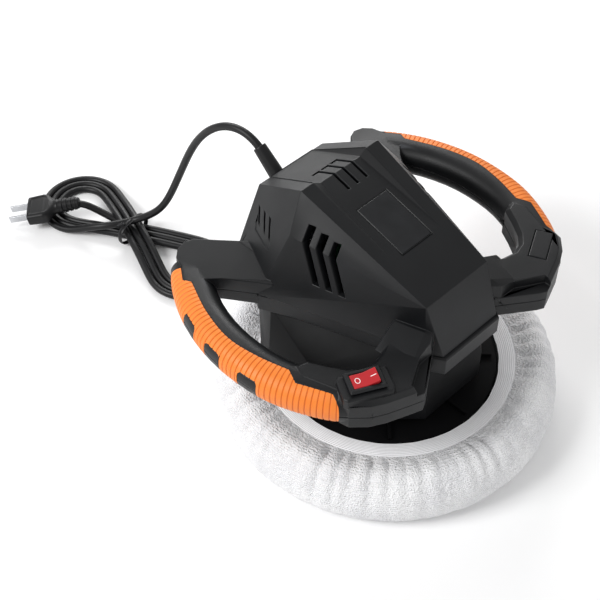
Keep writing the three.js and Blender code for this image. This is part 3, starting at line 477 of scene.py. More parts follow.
def hank_points():
    """The wound turns: a crossed path round two circles, each turn a cord's width further on."""
    lean = math.asin(LOBE_R / LOBE_OUT)
    half_run = LOBE_OUT * math.cos(lean)
    arc = LOBE_R * (math.pi + 2 * lean)
    turn_length = 4 * half_run + 2 * arc

    def on_run(s, side, level):
        """Point, heading, distance from the tie and level on a straight run across it."""
        heading = side * (math.pi / 2 + lean)
        return np.array([math.cos(heading), math.sin(heading)]) * s, heading, s, level

    def on_lobe(u, side):
        """The same, u along the bend round the far circle (side 1) or the near one (-1)."""
        heading = side * (math.pi / 2 + lean - u / LOBE_R)
        across = np.array([math.sin(heading), -math.cos(heading)])
        point = np.array([0.0, side * LOBE_OUT]) - side * across * LOBE_R
        level = int((u >= arc / 2) == (side > 0))
        return point, heading, half_run + min(u, arc - u), level

    def place_on(u):
        """The same, u along one whole turn, which starts at the tie."""
        if u < half_run:
            return on_run(u, 1, 0)
        if u >= turn_length - half_run:
            return on_run(u - turn_length, 1, 0)
        if u < half_run + arc:
            return on_lobe(u - half_run, 1)
        u -= half_run + arc
        if u < 2 * half_run:
            return on_run(u - half_run, -1, 1)
        return on_lobe(u - 2 * half_run, -1)

    points = []
    for along in np.arange(WOUND_START, TURNS * turn_length + WOUND_OVERRUN, WOUND_STEP):
        point, heading, s, level = place_on(along % turn_length)
        offset = STRAND_PITCH * (along / turn_length - TURNS / 2)
        x, y = point + np.array([math.sin(heading), -math.cos(heading)]) * offset
        height = TOP_Z if along < half_run + arc / 2 else (LOW_Z, HIGH_Z)[level]
        z = FLOOR_Z + (height - FLOOR_Z) * (1 - ease((abs(s) - LEVEL_HALF) / FALL))
        points.append(in_hank(x, y, z))
    return points


def smooth_line(points, rounds):
    """Each round moves every inner point towards its two neighbours."""
    points = np.array(points, float)
    for _ in range(rounds):
        points[1:-1] = 0.25 * points[:-2] + 0.5 * points[1:-1] + 0.25 * points[2:]
    return points


def cord_line():
    """The middle of the whole lead, at even steps from the strain relief to the plug."""
    wound = hank_points()
    keys = FREE_ROUTE + [OVER_TIE]
    lead_in = spline_through(keys + wound[:3])[:SPAN_STEPS * len(keys)]
    tail = spline_through(wound[-3:] + TAIL_ROUTE)[SPAN_STEPS * 2:]
    line = np.vstack([lead_in, wound[:-1], tail])
    return resample(smooth_line(resample(line, ROUTE_STEP), SMOOTH_ROUNDS), CURVE_STEP)


def add_cord():
    """The lead as one spline; also gives its length in metres."""
    line = cord_line()
    curve = bpy.data.curves.new("power_cord", "CURVE")
    curve.dimensions = "3D"
    curve.bevel_depth = CORD_D / 2 * MM
    curve.bevel_resolution = 5
    curve.use_fill_caps = True
    spline = curve.splines.new("NURBS")
    spline.points.add(len(line) - 1)
    for point, at in zip(spline.points, line):
        point.co = (*[c * MM for c in at], 1.0)
    spline.order_u = 4
    spline.use_endpoint_u = True
    spline.resolution_u = 3
    length = float(np.linalg.norm(np.diff(line, axis=0), axis=1).sum()) * MM
    cord = link("power_cord", curve)
    place(cord, "housing", "cord", replaces=("cord", "cord_hank", "cord_tail"))
    return cord, round(length, 2)


def squared(wave, power):
    """A sine or cosine raised to a power, with its sign kept, which squares a circle's corners."""
    return math.copysign(abs(wave) ** power, wave)


TIE_HALF, TIE_LOW, TIE_HIGH, TIE_STEPS = 15.4, 0.8, 21.0, 64
TIE_SQUARENESS = 0.8  # 1 is round, and less is squarer
TIE_SECTION = ((-1.9, -0.35), (-0.55, -0.35), (0, -0.75), (0.55, -0.35), (1.9, -0.35),
               (1.9, 0.35), (0.55, 0.35), (0, 0.75), (-0.55, 0.35), (-1.9, 0.35))
TWIST_STEPS, TWIST_TURN = 30, 9.0  # the turn is in radians


def tie_band():
    """The flat tie round the strands, with the wire as a ridge along its middle."""
    middle, tall = (TIE_LOW + TIE_HIGH) / 2, (TIE_HIGH - TIE_LOW) / 2
    rings = []
    for i in range(TIE_STEPS):
        a = 2 * math.pi * i / TIE_STEPS
        x = TIE_HALF * squared(math.cos(a), TIE_SQUARENESS)
        z = middle + tall * squared(math.sin(a), TIE_SQUARENESS)
        out = np.array([math.cos(a) / TIE_HALF, 0, math.sin(a) / tall])
        out /= np.linalg.norm(out)
        rings.append([(x + out[0] * thick, along, z + out[2] * thick) for along, thick in TIE_SECTION])
    return loft(rings, closed_loop=True)


def tie_twist():
    """The tie's two ends, twisted together and standing up a little."""
    rings = []
    for i in range(TWIST_STEPS):
        t = i / (TWIST_STEPS - 1)
        centre = np.array([-7.0 - 5.0 * t, 1.0 + 3.0 * t, 20.6 + 1.5 * math.sin(2.6 * t)])
        turn = TWIST_TURN * t
        u = np.array([math.sin(turn) * 0.4, math.cos(turn), math.sin(turn) * 0.9])
        w = np.array([0.4 * math.cos(turn), -math.sin(turn), math.cos(turn)])
        wide, thick = 1.5 - 0.5 * t, 0.5
        rings.append([tuple(centre + u * a + w * b) for a, b in
                      ((-wide, -thick), (wide, -thick), (wide, thick), (-wide, thick))])
    return loft(rings)


def joined(parts):
    """Several (points, faces) as one."""
    points, faces = [], []
    for more, more_faces in parts:
        faces += [tuple(i + len(points) for i in face) for face in more_faces]
        points += more
    return points, faces


def add_tie():
    """A flat wire tie round the waist of the hank."""
    points, faces = joined([tie_band(), tie_twist()])
    tie = mesh_object("hank_tie", [in_hank(*p) for p in points], faces, 40)
    return place(tie, "housing", "cord", replaces=("cord_tie",))


PLUG_PLACE = Vector((-51, 300, 19.3))
PLUG_TURN = Matrix.Rotation(math.radians(49.5), 3, "Z") @ Matrix.Rotation(math.radians(-10), 3, "X")
# Along the plug: where its neck is ribbed, and how often and how long the ribs are.
RIBS_FROM, RIBS_TO, RIB_EVERY, RIB_LONG = 2.5, 18.5, 4.0, 2.4
PLUG_FLARE = [(20.0, 6.2, 5.4), (22.0, 7.4, 5.3), (24.0, 9.2, 5.4), (26.0, 11.2, 5.6),
              (28.0, 12.7, 5.8), (30.0, 13.4, 6.0)]
PLUG_FACE = [(43.5, 12.6, 5.4), (43.9, 12.0, 4.9), (44.0, 11.4, 4.3)]
# The sunk panels: from and to along the plug, the edge left beside them, and their depth.
PANEL_FROM, PANEL_TO, PANEL_EDGE, PANEL_DEEP = 27.5, 41.5, 3.6, 0.55


def plug_stations():
    """(distance, half width, half height) along the plug, from its ribbed neck to its face."""
    stations = [(0.0, 3.6, 3.6), (0.5, 4.4, 4.4)]
    for i in range(37):
        y = 1.0 + i * 0.5
        base = 4.6 + 1.6 * y / 21
        rib = 0.0
        if RIBS_FROM < y < RIBS_TO:
            rib = 0.55 if (y - RIBS_FROM) % RIB_EVERY < RIB_LONG else -0.25
        stations.append((y, base + rib, base + rib * 0.8))
    body = [(30.0 + 0.5 * i, 13.5 - 0.025 * i, 6.0 - 0.01425 * i) for i in range(1, 27)]
    return stations + PLUG_FLARE + body + PLUG_FACE


def add_plug():
    """Moulded two-pin plug: a ribbed neck, a flare, and a flat body with sunk side panels."""
    rings = []
    for y, wide, tall in plug_stations():
        power = 1.0 - 0.62 * ease((y - 19) / 9)  # from a round neck to a squared body
        ring = []
        for k in range(64):
            a = 2 * math.pi * k / 64
            x, z = wide * squared(math.cos(a), power), tall * squared(math.sin(a), power)
            inside = min(y - PANEL_FROM, PANEL_TO - y, (wide - PANEL_EDGE) - abs(x))
            if inside > 0 and abs(z) > 0.6 * tall:
                z -= math.copysign(PANEL_DEEP * ease(inside / 0.6), z)
            ring.append((x, y, z))
        rings.append(ring)
    points, faces = loft(rings)
    points = [tuple(PLUG_PLACE + PLUG_TURN @ Vector(p)) for p in points]
    plug = mesh_object("plug_moulding", points, faces, 38)
    return place(plug, "housing", "cord", replaces=("plug_body",))


# ---- Copies of CAD nodes with rounded edges ----
ROUND_PARTS_X = 80.0  # the handles' rounded bars lie further out than this
FACET_CREASE, ROUND_CREASE = 7.0, 27.0  # degrees; a bend sharper than this shows as an edge
STRIP_BREADTH = 0.3  # a rounding face's area over its perimeter is under this
BROKEN_EDGE = 26.0  # degrees; an edge sharper than this is also bevelled
SAME_POINT = 2e-6  # metres
SAME_PLANE = math.radians(0.6)


def bend_of(edge):
    """Degrees between an edge's two faces."""
    return math.degrees(edge.calc_face_angle(0.0)) if len(edge.link_faces) == 2 else 0.0


def is_crease(edge):
    """Whether an edge is a real one of the shape, and not a step of a rounded bar."""
    out = abs(edge.verts[0].co.x + edge.verts[1].co.x) / 2
    return bend_of(edge) > (ROUND_CREASE if out > ROUND_PARTS_X * MM else FACET_CREASE)


def is_strip(face):
    """Whether a face is one of the narrow ones that round an edge."""
    return face.calc_area() / face.calc_perimeter() < STRIP_BREADTH * MM


def bevelled(node, body, look, width, name=None, segments=2, sink=0.0):
    """A copy of a CAD node with its flat faces joined up and its sharp edges broken.

    sink lowers its upper half by so many millimetres.
    """
    name = name or node + "_shell"
    bm = bmesh.new()
    bm.from_mesh(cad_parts[node].data)
    bmesh.ops.remove_doubles(bm, verts=bm.verts, dist=SAME_POINT)
    bmesh.ops.dissolve_limit(bm, angle_limit=SAME_PLANE, verts=bm.verts, edges=bm.edges)
    if sink:
        middle = sum(v.co.z for v in bm.verts) / len(bm.verts)
        for v in bm.verts:
            v.co.z -= sink * MM * (v.co.z > middle)
    broken = [e for e in bm.edges if bend_of(e) > BROKEN_EDGE]
    bmesh.ops.bevel(bm, geom=broken, offset=width * MM, segments=segments, profile=0.6,
                    affect="EDGES", clamp_overlap=False)
    for edge in bm.edges:
        edge.smooth = any(is_strip(face) for face in edge.link_faces) or not is_crease(edge)
    bmesh.ops.triangulate(bm, faces=[f for f in bm.faces if len(f.verts) > 4])
    mesh = bpy.data.meshes.new(name)
    bm.to_mesh(mesh)
    bm.free()
    for face in mesh.polygons:
        face.use_smooth = True
    obj = link(name, mesh)
    even = obj.modifiers.new("even", "WEIGHTED_NORMAL")
    even.keep_sharp = True
    even.weight = 100
    apply_modifiers(obj)
    return place(obj, body, look, replaces=(node,))


cord, CORD_LENGTH = add_cord()
tie = add_tie()
plug = add_plug()
pins = [bevelled(f"plug_pin_{i}", "housing", "steel", 0.25, f"plug_blade_{i}")
        for i in (1, 2)]


# ---- Shells ----
for node, width, look in (
        ("upper_housing", 0.45, "black_plastic"), ("lower_housing", 0.45, "black_plastic"),
        # the skirt takes the darker copy of the black plastic, as painted shade
        ("skirt", 0.45, "dark_plastic"), ("switch_bezel", 0.3, "black_plastic")):
    bevelled(node, "housing", look, width)
bevelled("blanking_cover", "housing", "black_plastic", 0.3, sink=0.8)
rocker = bevelled("switch_rocker", "switch", "red_plastic", 0.6, segments=3)

RELIEF_START = Vector((0, 92, 122.9))
RELIEF_TILT = math.radians(39.8)
RELIEF_R, TAPER_FROM, TAPER_STEP, TAPER_STEPS = 5.9, 20.0, 1.5, 20
TAPER = 0.0333  # radius lost for each millimetre along the sleeve


def add_relief():
    """The tapered sleeve that the cord leaves through."""
    profile = [(3.3, -0.8), (8.3, -0.8), (8.5, -0.6), (8.5, 1.3), (8.2, 1.5), (6.2, 2.4),
               (RELIEF_R, 3.0)]
    profile += [(RELIEF_R - TAPER * i * TAPER_STEP, TAPER_FROM + i * TAPER_STEP)
                for i in range(TAPER_STEPS)]
    profile += [(4.9, 49.2), (4.75, 49.7), (4.45, 49.95), (3.5, 49.95), (3.3, 49.6)]
    points, faces = revolve(profile, 56)
    turn = Matrix.Rotation(RELIEF_TILT - math.pi / 2, 3, "X")
    points = [tuple(RELIEF_START + turn @ Vector(p)) for p in points]
    return place(mesh_object("relief_sleeve", points, faces, 35), "housing", "cord",
                 replaces=("strain_relief",))


add_relief()


# ---- Switch marks: a ring and a bar, laid on the rocker's own surface ----
SWITCH_AT = Vector((-86.5, -56.5, 0))
SWITCH_TURN = math.radians(-27)
MARK_SUNK, MARK_PROUD = -0.05, 0.06  # heights over the rocker's surface
RING_X, RING_HALF_X, RING_HALF_Y, RING_LINE, RING_STEPS = -5.0, 1.35, 1.75, 0.4, 40
BAR_X, BAR_HALF_Y, BAR_STEP, BAR_STEPS = 3.4, 0.24, 0.2, 19


def mark_rings(outline_pairs):
    """Sections of a thin raised strip between two matching outlines in the rocker's plan."""
    tree = BVHTree.FromPolygons([v.co.copy() for v in rocker.data.vertices],
                                [tuple(p.vertices) for p in rocker.data.polygons])
    turn = Matrix.Rotation(SWITCH_TURN, 3, "Z")

    def on_rocker(x, y, lift):
        at = (SWITCH_AT + turn @ Vector((x, y, 0))) * MM
        hit = tree.ray_cast(Vector((at.x, at.y, 0.2)), Vector((0, 0, -1)))[0]
        return tuple((hit + Vector((0, 0, lift * MM))) / MM)

    return [[on_rocker(*a, MARK_SUNK), on_rocker(*b, MARK_SUNK),
             on_rocker(*b, MARK_PROUD), on_rocker(*a, MARK_PROUD)] for a, b in outline_pairs]


def ring_mark():
    pairs = []
    for i in range(RING_STEPS):
        a = 2 * math.pi * i / RING_STEPS
        pairs.append([(RING_X + (RING_HALF_X + line) * math.cos(a), (RING_HALF_Y + line) * math.sin(a))
                      for line in (0.0, RING_LINE)])
    points, faces = loft(mark_rings(pairs), closed_loop=True)
    place(mesh_object("mark_off", points, faces), "switch", "mark")


def bar_mark():
    pairs = [((BAR_X + BAR_STEP * i, -BAR_HALF_Y), (BAR_X + BAR_STEP * i, BAR_HALF_Y))
             for i in range(BAR_STEPS)]
    points, faces = loft(mark_rings(pairs))
    place(mesh_object("mark_on", points, faces), "switch", "mark")


ring_mark()
bar_mark()


# ---- Grips: ribbed over-moulding round the handles' rounded bars ----
BAR_LINE = [(83, -60, 117.5), (98, -45, 117.5), (110, -23.5, 117.4), (116.5, -4, 117.2),
            (118.8, 18, 117), (118, 38, 116.6), (114, 57.5, 116), (107.5, 75.5, 115.3),
            (98, 92.5, 114.6), (90, 102.5, 114.2)]
BAR_WIDE, BAR_TALL, BAR_ROUND, GRIP_SKIN = 14.5, 13.0, 12.0, 2.4
SKIN_GAP = 0.3  # left between the sleeve and the bar inside it
RIB_PITCH, RIB_DEPTH = 3.5, 0.42
GROOVE = ((-0.55, 0.0), (-0.28, 0.55), (0.0, 1.0), (0.28, 0.55), (0.55, 0.0))  # (along, share cut)
# The grip's outline in plan: its rear end, its long inner edge, and its front end, closed well
# outside the bar.
GRIP_REAR = [(100.5, 101), (107, 91.5)]
GRIP_CURVE = [(104.5, 85.3), (115.5, 57.3), (120.6, 30.2), (117.6, 6.7), (111.3, -15.1)]
GRIP_FRONT = [(115.5, -25), (105, -47), (107, -54), (116, -70), (160, -80), (160, 130), (112, 118)]
WINDOWS = [(131.8, 2.5, -5), (132, 35, 2), (126.3, 63, 17.5)]  # middle x and y, and turn in degrees
WINDOW_LENGTH, WINDOW_LOW, WINDOW_HIGH, WINDOW_ROUND = 15.5, 107.0, 124.0, 3.0
WINDOW_GAP = 0.15
WINDOW_REACH = (-11, 14)  # how far the cut goes inwards and outwards


def bar_section(wide, tall, radius, count=8):
    """A round-cornered rectangle, half so wide and tall, as points with their outward directions."""
    pairs = []
    for quarter in range(4):
        cx = (wide - radius) * (1 if quarter in (0, 3) else -1)
        cz = (tall - radius) * (1 if quarter in (0, 1) else -1)
        for k in range(count):
            a = math.pi / 2 * (quarter + k / (count - 1))
            pairs.append(((cx + radius * math.cos(a), cz + radius * math.sin(a)),
                          (math.cos(a), math.sin(a))))
    return pairs


def sleeve_rings(marks, cuts, inset):
    """Rings of the bar's section at distances along its line, each sunk by its cut."""
    line = spline_through(BAR_LINE, 60)
    along = np.concatenate([[0], np.cumsum(np.linalg.norm(np.diff(line, axis=0), axis=1))])
    section = bar_section(BAR_WIDE - inset, BAR_TALL - inset, BAR_ROUND - inset)

    def at(mark):
        return np.array([np.interp(mark, along, line[:, i]) for i in range(3)])

    rings = []
    for mark, cut in zip(marks, cuts):
        ahead = Vector(at(mark + 0.8) - at(mark - 0.8)).normalized()
        side = ahead.cross(Vector((0, 0, 1))).normalized()
        up = side.cross(ahead).normalized()
        centre = Vector(at(mark))
        rings.append([tuple(centre + side * (a - da * cut) + up * (b - db * cut))
                      for (a, b), (da, db) in section])
    return rings


def prism(name, plan, low, high):
    """A plan raised from one height to another."""
    points = [(x, y, low) for x, y in plan] + [(x, y, high) for x, y in plan]
    count = len(plan)
    faces = [tuple(range(count))[::-1], tuple(range(count, 2 * count))]
    faces += band(0, count, count)
    return mesh_object(name, points, faces)


def rounded_window(window):
    """A block across the bar with round corners seen from the side."""
    x, y, degrees = window
    c, s = math.cos(math.radians(degrees)), math.sin(math.radians(degrees))
    half = WINDOW_LENGTH / 2 + WINDOW_GAP
    tall = (WINDOW_HIGH - WINDOW_LOW) / 2 + WINDOW_GAP
    middle = (WINDOW_LOW + WINDOW_HIGH) / 2
    section = bar_section(half, tall, WINDOW_ROUND, 7)
    return loft([[(x + c * a - s * b, y + s * a + c * b, middle + z) for (b, z), _ in section]
                 for a in WINDOW_REACH])


def grip_marks():
    """Where the rings lie along the bar, close together only across each groove."""
    line = spline_through(BAR_LINE, 60)
    length = np.linalg.norm(np.diff(line, axis=0), axis=1).sum()
    marks, cuts = [1.0], [0.0]
    groove = 3.0
    while groove < length - 2.0:
        for step, share in GROOVE:
            marks.append(groove + step)
            cuts.append(RIB_DEPTH * share)
        groove += RIB_PITCH
    return marks + [length - 1.0], cuts + [0.0]


def sleeve(name):
    """The over-moulding as a closed tube: ribbed outside, plain inside."""
    marks, cuts = grip_marks()
    outer = sleeve_rings(marks, cuts, 0.0)
    plain = list(np.linspace(marks[0], marks[-1], 48))
    inner = sleeve_rings(plain, [0.0] * len(plain), GRIP_SKIN - SKIN_GAP)
    size = len(outer[0])
    shift = len(outer) * size
    faces = []
    for i in range(len(outer) - 1):
        faces += band(i * size, (i + 1) * size, size)
    for i in range(len(inner) - 1):
        faces += [face[::-1] for face in band(shift + i * size, shift + (i + 1) * size, size)]
    faces += band(0, shift, size)
    faces += band(shift - size, shift + (len(inner) - 1) * size, size)
    return mesh_object(name, [p for ring in outer + inner for p in ring], faces)


def add_grips():
    """The right grip, trimmed to its outline and cut by its windows, and its mirror image."""
    grip = sleeve("right_grip_sleeve")
    curve = spline_through([(x, y, 0) for x, y in GRIP_CURVE], 10)
    plan = GRIP_REAR + [(x, y) for x, y, _ in curve] + GRIP_FRONT
    boolean(grip, prism("region", plan, 90, 145), "INTERSECT")
    points, faces = joined(rounded_window(window) for window in WINDOWS)
    boolean(grip, mesh_object("holes", points, faces), "DIFFERENCE")
    finish_normals(grip.data, 34)
    other = link("left_grip_sleeve", grip.data.copy())
    other.data.transform(Matrix.Scale(-1, 4, (1, 0, 0)))
    other.data.flip_normals()
    finish_normals(other.data, 34)
    place(grip, "housing", "orange_rubber", replaces=("right_grip",))
    place(other, "housing", "orange_rubber", replaces=("left_grip",))


add_grips()


# ---- Bonnet, hem and foam ----
AROUND = 288
PILE_HEIGHT = 0.3  # most that a bump of the pile stands out or in
MOST_SHIFT = 4.5  # how far the simulation may carry a point
FOLDS, BROAD_FOLDS, REACH_WAVES = 58, 26, 40  # gathers, broader swells and their reach, all round
FOLD_DEPTH = 1.9
WIDEST_R = 124.2
CUT_NARROWING = 0.45  # the cut cloth narrows by this share of what the pad does
CUT_HEIGHT = 0.97  # the cut wall's height for each millimetre along the cloth
PINNED_ROWS = 4
SIM_FRAMES = 25
SEAM_R, SEAM_Z = 92.7, 42.0
HEM_SIDE_R, HEM_SIDE_TOP, MOST_HIGH = 100, 45.6, 50.5  # the cloth's top inside that radius, and outside
FLAT_RINGS = (20, 60)  # radii of the rings that fill in the flat faces
INNER_FLOOR = 3.2
OUTSIDE = [(96, 0.0), (104, 0.0), (110, 0.4), (115.5, 2.4), (119.8, 5.8), (122.7, 10.6), (124, 16),
           (WIDEST_R, 21.5), (123.6, 27), (122.2, 32.4), (119.8, 37.6), (116.4, 42.6), (112, 46.4),
           (107.4, 47.2), (102.8, 46.2), (98.6, 44.4), (95.4, 43.0), (SEAM_R, SEAM_Z)]
INSIDE = [(93.2, 39.4), (97.5, 40.6), (103, 42.6), (108, 43.4), (112.4, 41.6), (117, 36.6),
          (120, 30), (120.9, 22), (119.6, 14), (116, 7.6), (109, 3.4), (96, INNER_FLOOR)]


def bonnet_strip():
    """The outer cloth from under the pad's rim up to the seam: rings of points and arc length."""
    profile = spline_through([(r, 0, z) for r, z in OUTSIDE], 12)
    profile = resample(profile, 2.2)[:, [0, 2]]
    along = np.concatenate([[0], np.cumsum(np.linalg.norm(np.diff(profile, axis=0), axis=1))])
    return profile, along


def fold_field(angles, rng, folds):
    """Gathers round the pad: pillows of uneven width with narrow creases between them."""
    phase = folds * angles
    for waves, size in ((3, 1.9), (5, 1.3), (9, 0.9), (14, 0.6)):
        phase += size * np.sin(waves * angles + rng.uniform(0, 2 * math.pi))
    size = 0.75 + 0.25 * np.sin(7 * angles + rng.uniform(0, 2 * math.pi))
    size += 0.2 * np.sin(17 * angles + rng.uniform(0, 2 * math.pi))
    return size * (2.0 * np.abs(np.sin(phase / 2)) ** 0.75 - 1.25)


def gathered_positions(profile, along):
    """The strip with shallow gathers that start at the seam and die out over the rim."""
    rng = np.random.default_rng(SEED)
    angles = np.arange(AROUND) * 2 * math.pi / AROUND
    field = fold_field(angles, rng, FOLDS)
    broad = fold_field(angles, rng, BROAD_FOLDS)
    reach = 0.7 + 0.5 * np.abs(fold_field(angles, rng, REACH_WAVES))
    tangent = np.gradient(profile, axis=0)
    tangent /= np.linalg.norm(tangent, axis=1)[:, None]
    normal = np.stack([tangent[:, 1], -tangent[:, 0]], axis=1)
    points = np.zeros((len(profile), AROUND, 3))
    whole = along[-1]
    for i, (r, z) in enumerate(profile):
        back = (whole - along[i]) / whole
        near = np.clip(1 - back / (0.72 * reach), 0, 1)
        seam = min(1.0, (whole - along[i]) / 7.0)  # none at the seam itself, all of it 7 mm away
        depth = FOLD_DEPTH * (near ** 0.8) * seam
        ripple = broad * np.clip(1 - back / 0.95, 0, 1) * seam
        push = depth * field + ripple
        rr = r + normal[i, 0] * push
        zz = z + normal[i, 1] * push
        points[i] = np.stack([rr * np.cos(angles), rr * np.sin(angles), zz], axis=1)
    return points


def strip_faces(rows, around=AROUND):
    """Faces of an open strip of so many rings, from the first point on."""
    return [face for i in range(rows - 1) for face in band(i * around, (i + 1) * around, around)]


def finer(points):
    """Twice as many points each way, on smooth curves through the old ones."""
    between = (9 * (points + np.roll(points, -1, axis=1))
               - np.roll(points, 1, axis=1) - np.roll(points, -2, axis=1)) / 16
    rows = np.stack([points, between], axis=2).reshape(points.shape[0], -1, 3)
    padded = np.concatenate([rows[:1] * 2 - rows[1:2], rows, rows[-1:] * 2 - rows[-2:-1]])
    middle = (9 * (rows[:-1] + rows[1:]) - padded[:-3] - padded[3:]) / 16
    out = np.empty((2 * len(rows) - 1, rows.shape[1], 3))
    out[0::2], out[1::2] = rows, middle
    return out


def add_cut_shape(obj, profile, along):
    """A shape key of the strip as it was cut: from its widest ring on, closer to a straight wall."""
    obj.shape_key_add(name="Basis")
    cut = obj.shape_key_add(name="cut")
    widest = int(np.argmax(profile[:, 0]))
    for i, (r, z) in enumerate(profile):
        if i > widest:
            r = WIDEST_R - CUT_NARROWING * (WIDEST_R - r)
            z = profile[widest, 1] + (along[i] - along[widest]) * CUT_HEIGHT
        for j in range(AROUND):
            a = 2 * math.pi * j / AROUND
            cut.data[i * AROUND + j].co = (r * math.cos(a) * MM, r * math.sin(a) * MM, z * MM)
    return cut


def simulate_gathers(start, profile, along):
    """Cloth: the strip's seam has to gather, because it is held in tighter than it was cut."""
    rows = len(profile)
    obj = mesh_object("cloth_strip", start.reshape(-1, 3), strip_faces(rows), 180)
    cut = add_cut_shape(obj, profile, along)
    pinned = obj.vertex_groups.new(name="pinned")
    under_rim = list(range(PINNED_ROWS * AROUND))
    seam = list(range((rows - 1) * AROUND, rows * AROUND))
    pinned.add(under_rim + seam, 1.0, "REPLACE")
    cloth = obj.modifiers.new("cloth", "CLOTH")
    settings = cloth.settings
    settings.quality = 6
    settings.mass = 0.25
    settings.tension_stiffness = 12
    settings.compression_stiffness = 12
    settings.shear_stiffness = 3
    settings.bending_stiffness = 0.25
    settings.tension_damping = settings.compression_damping = 6
    settings.air_damping = 4
    settings.vertex_group_mass = "pinned"
    settings.rest_shape_key = cut
    settings.use_pressure = True
    settings.uniform_pressure_force = 1.5
    settings.effector_weights.gravity = 0.0
    cloth.collision_settings.use_collision = False
    cloth.point_cache.frame_start, cloth.point_cache.frame_end = 1, SIM_FRAMES + 1
    for number in range(1, SIM_FRAMES + 1):
        scene.frame_set(number)
    evaluated = obj.evaluated_get(bpy.context.evaluated_depsgraph_get())
    mesh = evaluated.to_mesh()
    after = np.empty(len(mesh.vertices) * 3)
    mesh.vertices.foreach_get("co", after)
    evaluated.to_mesh_clear()
    scene.frame_set(1)
    bpy.data.objects.remove(obj, do_unlink=True)
    return after.reshape(start.shape) / MM


def pile(points):
    """Loops of the terry pile: small uneven bumps outwards, fading at the flat working face."""
    rng = np.random.default_rng(SEED + 1)
    along = np.gradient(points, axis=0)
    around = np.roll(points, -1, axis=1) - np.roll(points, 1, axis=1)
    normal = np.cross(around, along)
    normal /= np.maximum(np.linalg.norm(normal, axis=2, keepdims=True), 1e-9)
    height = rng.uniform(-1, 1, points.shape[:2])
    height = 0.6 * height + 0.4 * np.roll(height, 1, axis=0)
    fade = np.clip(points[..., 2] / 2.0, 0, 1)
    return points + normal * (height * PILE_HEIGHT * fade)[..., None]


def add_bonnet():
    """The terry bonnet: its gathered outside, and a plain inside that the foam fills."""
    profile, along = bonnet_strip()
    start = gathered_positions(profile, along)
    points = start
    shift = simulate_gathers(start, profile, along) - start
    size = np.linalg.norm(shift, axis=2, keepdims=True)
    points = start + shift * np.minimum(1.0, MOST_SHIFT / np.maximum(size, 1e-9))
    points = pile(finer(points))
    radius = np.hypot(points[..., 0], points[..., 1])
    most_high = np.where(radius < HEM_SIDE_R, HEM_SIDE_TOP, MOST_HIGH)
    points[..., 2] = np.clip(points[..., 2], 0.0, most_high)
    around = points.shape[1]
    angles = np.arange(around) * 2 * math.pi / around

    def level_ring(r, z):
        return np.stack([r * np.cos(angles), r * np.sin(angles), np.full(around, z)], axis=1)

    rings = [level_ring(r, 0) for r in FLAT_RINGS] + list(points)
    rings += [level_ring(r, z) for r, z in INSIDE]
    rings += [level_ring(r, INNER_FLOOR) for r in reversed(FLAT_RINGS)]
    faces = strip_faces(len(rings), around)
    faces.append(tuple(range(around))[::-1])
    faces.append(tuple(range((len(rings) - 1) * around, len(rings) * around)))
    bonnet = mesh_object("bonnet_terry", np.vstack(rings), faces, 180)
    place(bonnet, "pad", "terry", replaces=("bonnet",))


HEM_R, HEM_WIDE, HEM_ROWS, HEM_CREST = 81.0, 11.9, 9, 0.14
ROW_STEPS = 6


def add_hem():
    """The elastic hem: a band sewn in rows, lying just inside the seam."""
    top = []
    for i in range(HEM_ROWS * ROW_STEPS + 1):
        t = i / (HEM_ROWS * ROW_STEPS)
        crest = HEM_CREST * math.cos(2 * math.pi * t * HEM_ROWS)
        top.append((HEM_R + t * HEM_WIDE, 40.6 + 1.5 * math.sin(t * math.pi * 0.55) + crest))
    profile = top + [(93.3, 41.4), (93.0, 40.2), (87, 38.9), (81.6, 38.7), (80.9, 39.4)]

    def warp(a, r, z):
        wave = 0.35 * math.sin(23 * a + 0.8) + 0.25 * math.sin(41 * a + 2.1 * math.sin(2 * a))
        inner = (93 - r) / 12
        return r + 0.35 * wave * inner, z + 0.25 * wave

    points, faces = revolve(profile, AROUND, warp)
    hem = mesh_object("hem_elastic", points, faces, 60)
    place(hem, "pad", "hem_band", replaces=("bonnet_hem",))


def add_foam():
    """The foam pad inside the bonnet, with soft uneven sides."""
    profile = [(0.02, 3.5), (60, 3.5), (100, 3.5), (108.6, 3.7), (113, 5.2), (116.5, 8), (119, 12),
               (120, 17), (120, 26), (118.6, 32), (115.8, 37.6), (112, 41.4), (108.6, 42.4),
               (104, 42), (100, 40.4), (95, 38.9), (88, 37.9), (82, 37.7), (80.6, 37.2), (79.9, 33.4),
               (60, 33.3), (0.02, 33.3)]

    def warp(a, r, z):
        return r + 0.25 * math.sin(9 * a + z * 0.3) * (r > 84), z

    points, faces = revolve(profile, 96, warp)
    foam = mesh_object("pad_foam", points, faces, 50)
    place(foam, "pad", "foam", replaces=("foam_pad",))


add_bonnet()
add_hem()
add_foam()


# ---- The CAD nodes that stay: a fitting material on each ----
def numbered(name, count):
    return [f"{name}_{i}" for i in range(1, count + 1)]


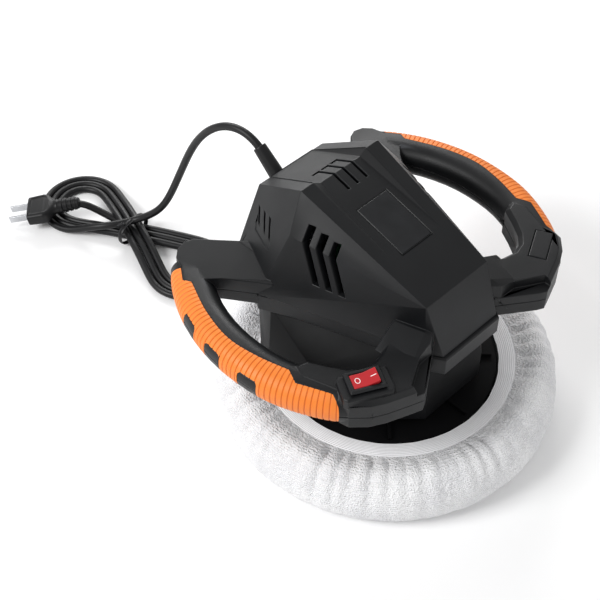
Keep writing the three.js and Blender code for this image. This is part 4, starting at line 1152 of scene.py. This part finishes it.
KEPT = {
    "steel": [*numbered("housing_screw", 4), *numbered("skirt_screw", 4),
              *numbered("bracket_screw", 4), *numbered("clamp_screw", 2), "motor_can",
              "motor_shaft", "lower_bearing", "upper_bearing", "pad_bearing", "pad_washer",
              "pad_bolt", "motor_bracket"],
    "black_plastic": ["cord_clamp"],
    # the darker copy of the black plastic, painted shade, for parts inside
    "dark_plastic": ["switch_body", "brush_plate", "cooling_fan", "bridge_rectifier"],
    "backing": ["backing_plate"],
    "brass": [*numbered("switch_terminal", 2), *numbered("brush", 2)],
    "magnet": numbered("magnet", 2),
    "iron": ["armature", "counterweight"],
    "copper": ["winding_upper", "winding_lower", "commutator"],
    "board": ["rectifier_board"],
    "cord": ["cord_lead"],
}
for look, names in KEPT.items():
    for name in names:
        for material_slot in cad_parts[name].material_slots:
            material_slot.material = looks[look]


# ---- Floor, light ----
FLOOR_HALF, FLOOR_TOP = 6000, -0.2
WORLD_STRENGTH = 0.56


def add_floor():
    """A plain pale floor, just under the part."""
    n = Nodes("floor_look")
    tone = n.ramp(n.noise(3.0, 3.0), 0.3, 0.7)
    n.set(Base_Color=n.mix(tone, rgb(0.90, 0.90, 0.905), rgb(0.93, 0.93, 0.93)), Roughness=0.75)
    corners = [(-1, -1), (1, -1), (1, 1), (-1, 1)]
    floor = mesh_object("floor", [(x * FLOOR_HALF, y * FLOOR_HALF, FLOOR_TOP) for x, y in corners],
                        [(0, 1, 2, 3)])
    floor.data.materials.append(n.material)


def add_light(name, at, aim, size, power):
    data = bpy.data.lights.new(name, "AREA")
    data.shape = "RECTANGLE"
    data.size, data.size_y = size
    data.energy = power
    light = link(name, data)
    light.location = at
    light.rotation_euler = (Vector(aim) - Vector(at)).to_track_quat("-Z", "Y").to_euler()


def add_lights():
    """An even white world with three large soft lamps."""
    world = bpy.data.worlds.new("studio")
    world.use_nodes = True
    background = world.node_tree.nodes["Background"]
    background.inputs["Color"].default_value = (1.0, 1.0, 1.0, 1.0)
    background.inputs["Strength"].default_value = WORLD_STRENGTH
    scene.world = world
    add_light("key", (-1.3, 0.5, 1.2), (0, 0, 0.1), (0.7, 0.7), 24)
    add_light("fill", (0.4, -1.5, 1.0), (0, 0, 0.1), (1.2, 0.8), 5)
    add_light("rim", (0.9, 1.3, 0.9), (0, 0.05, 0.12), (1.2, 0.5), 18)


add_floor()
add_lights()
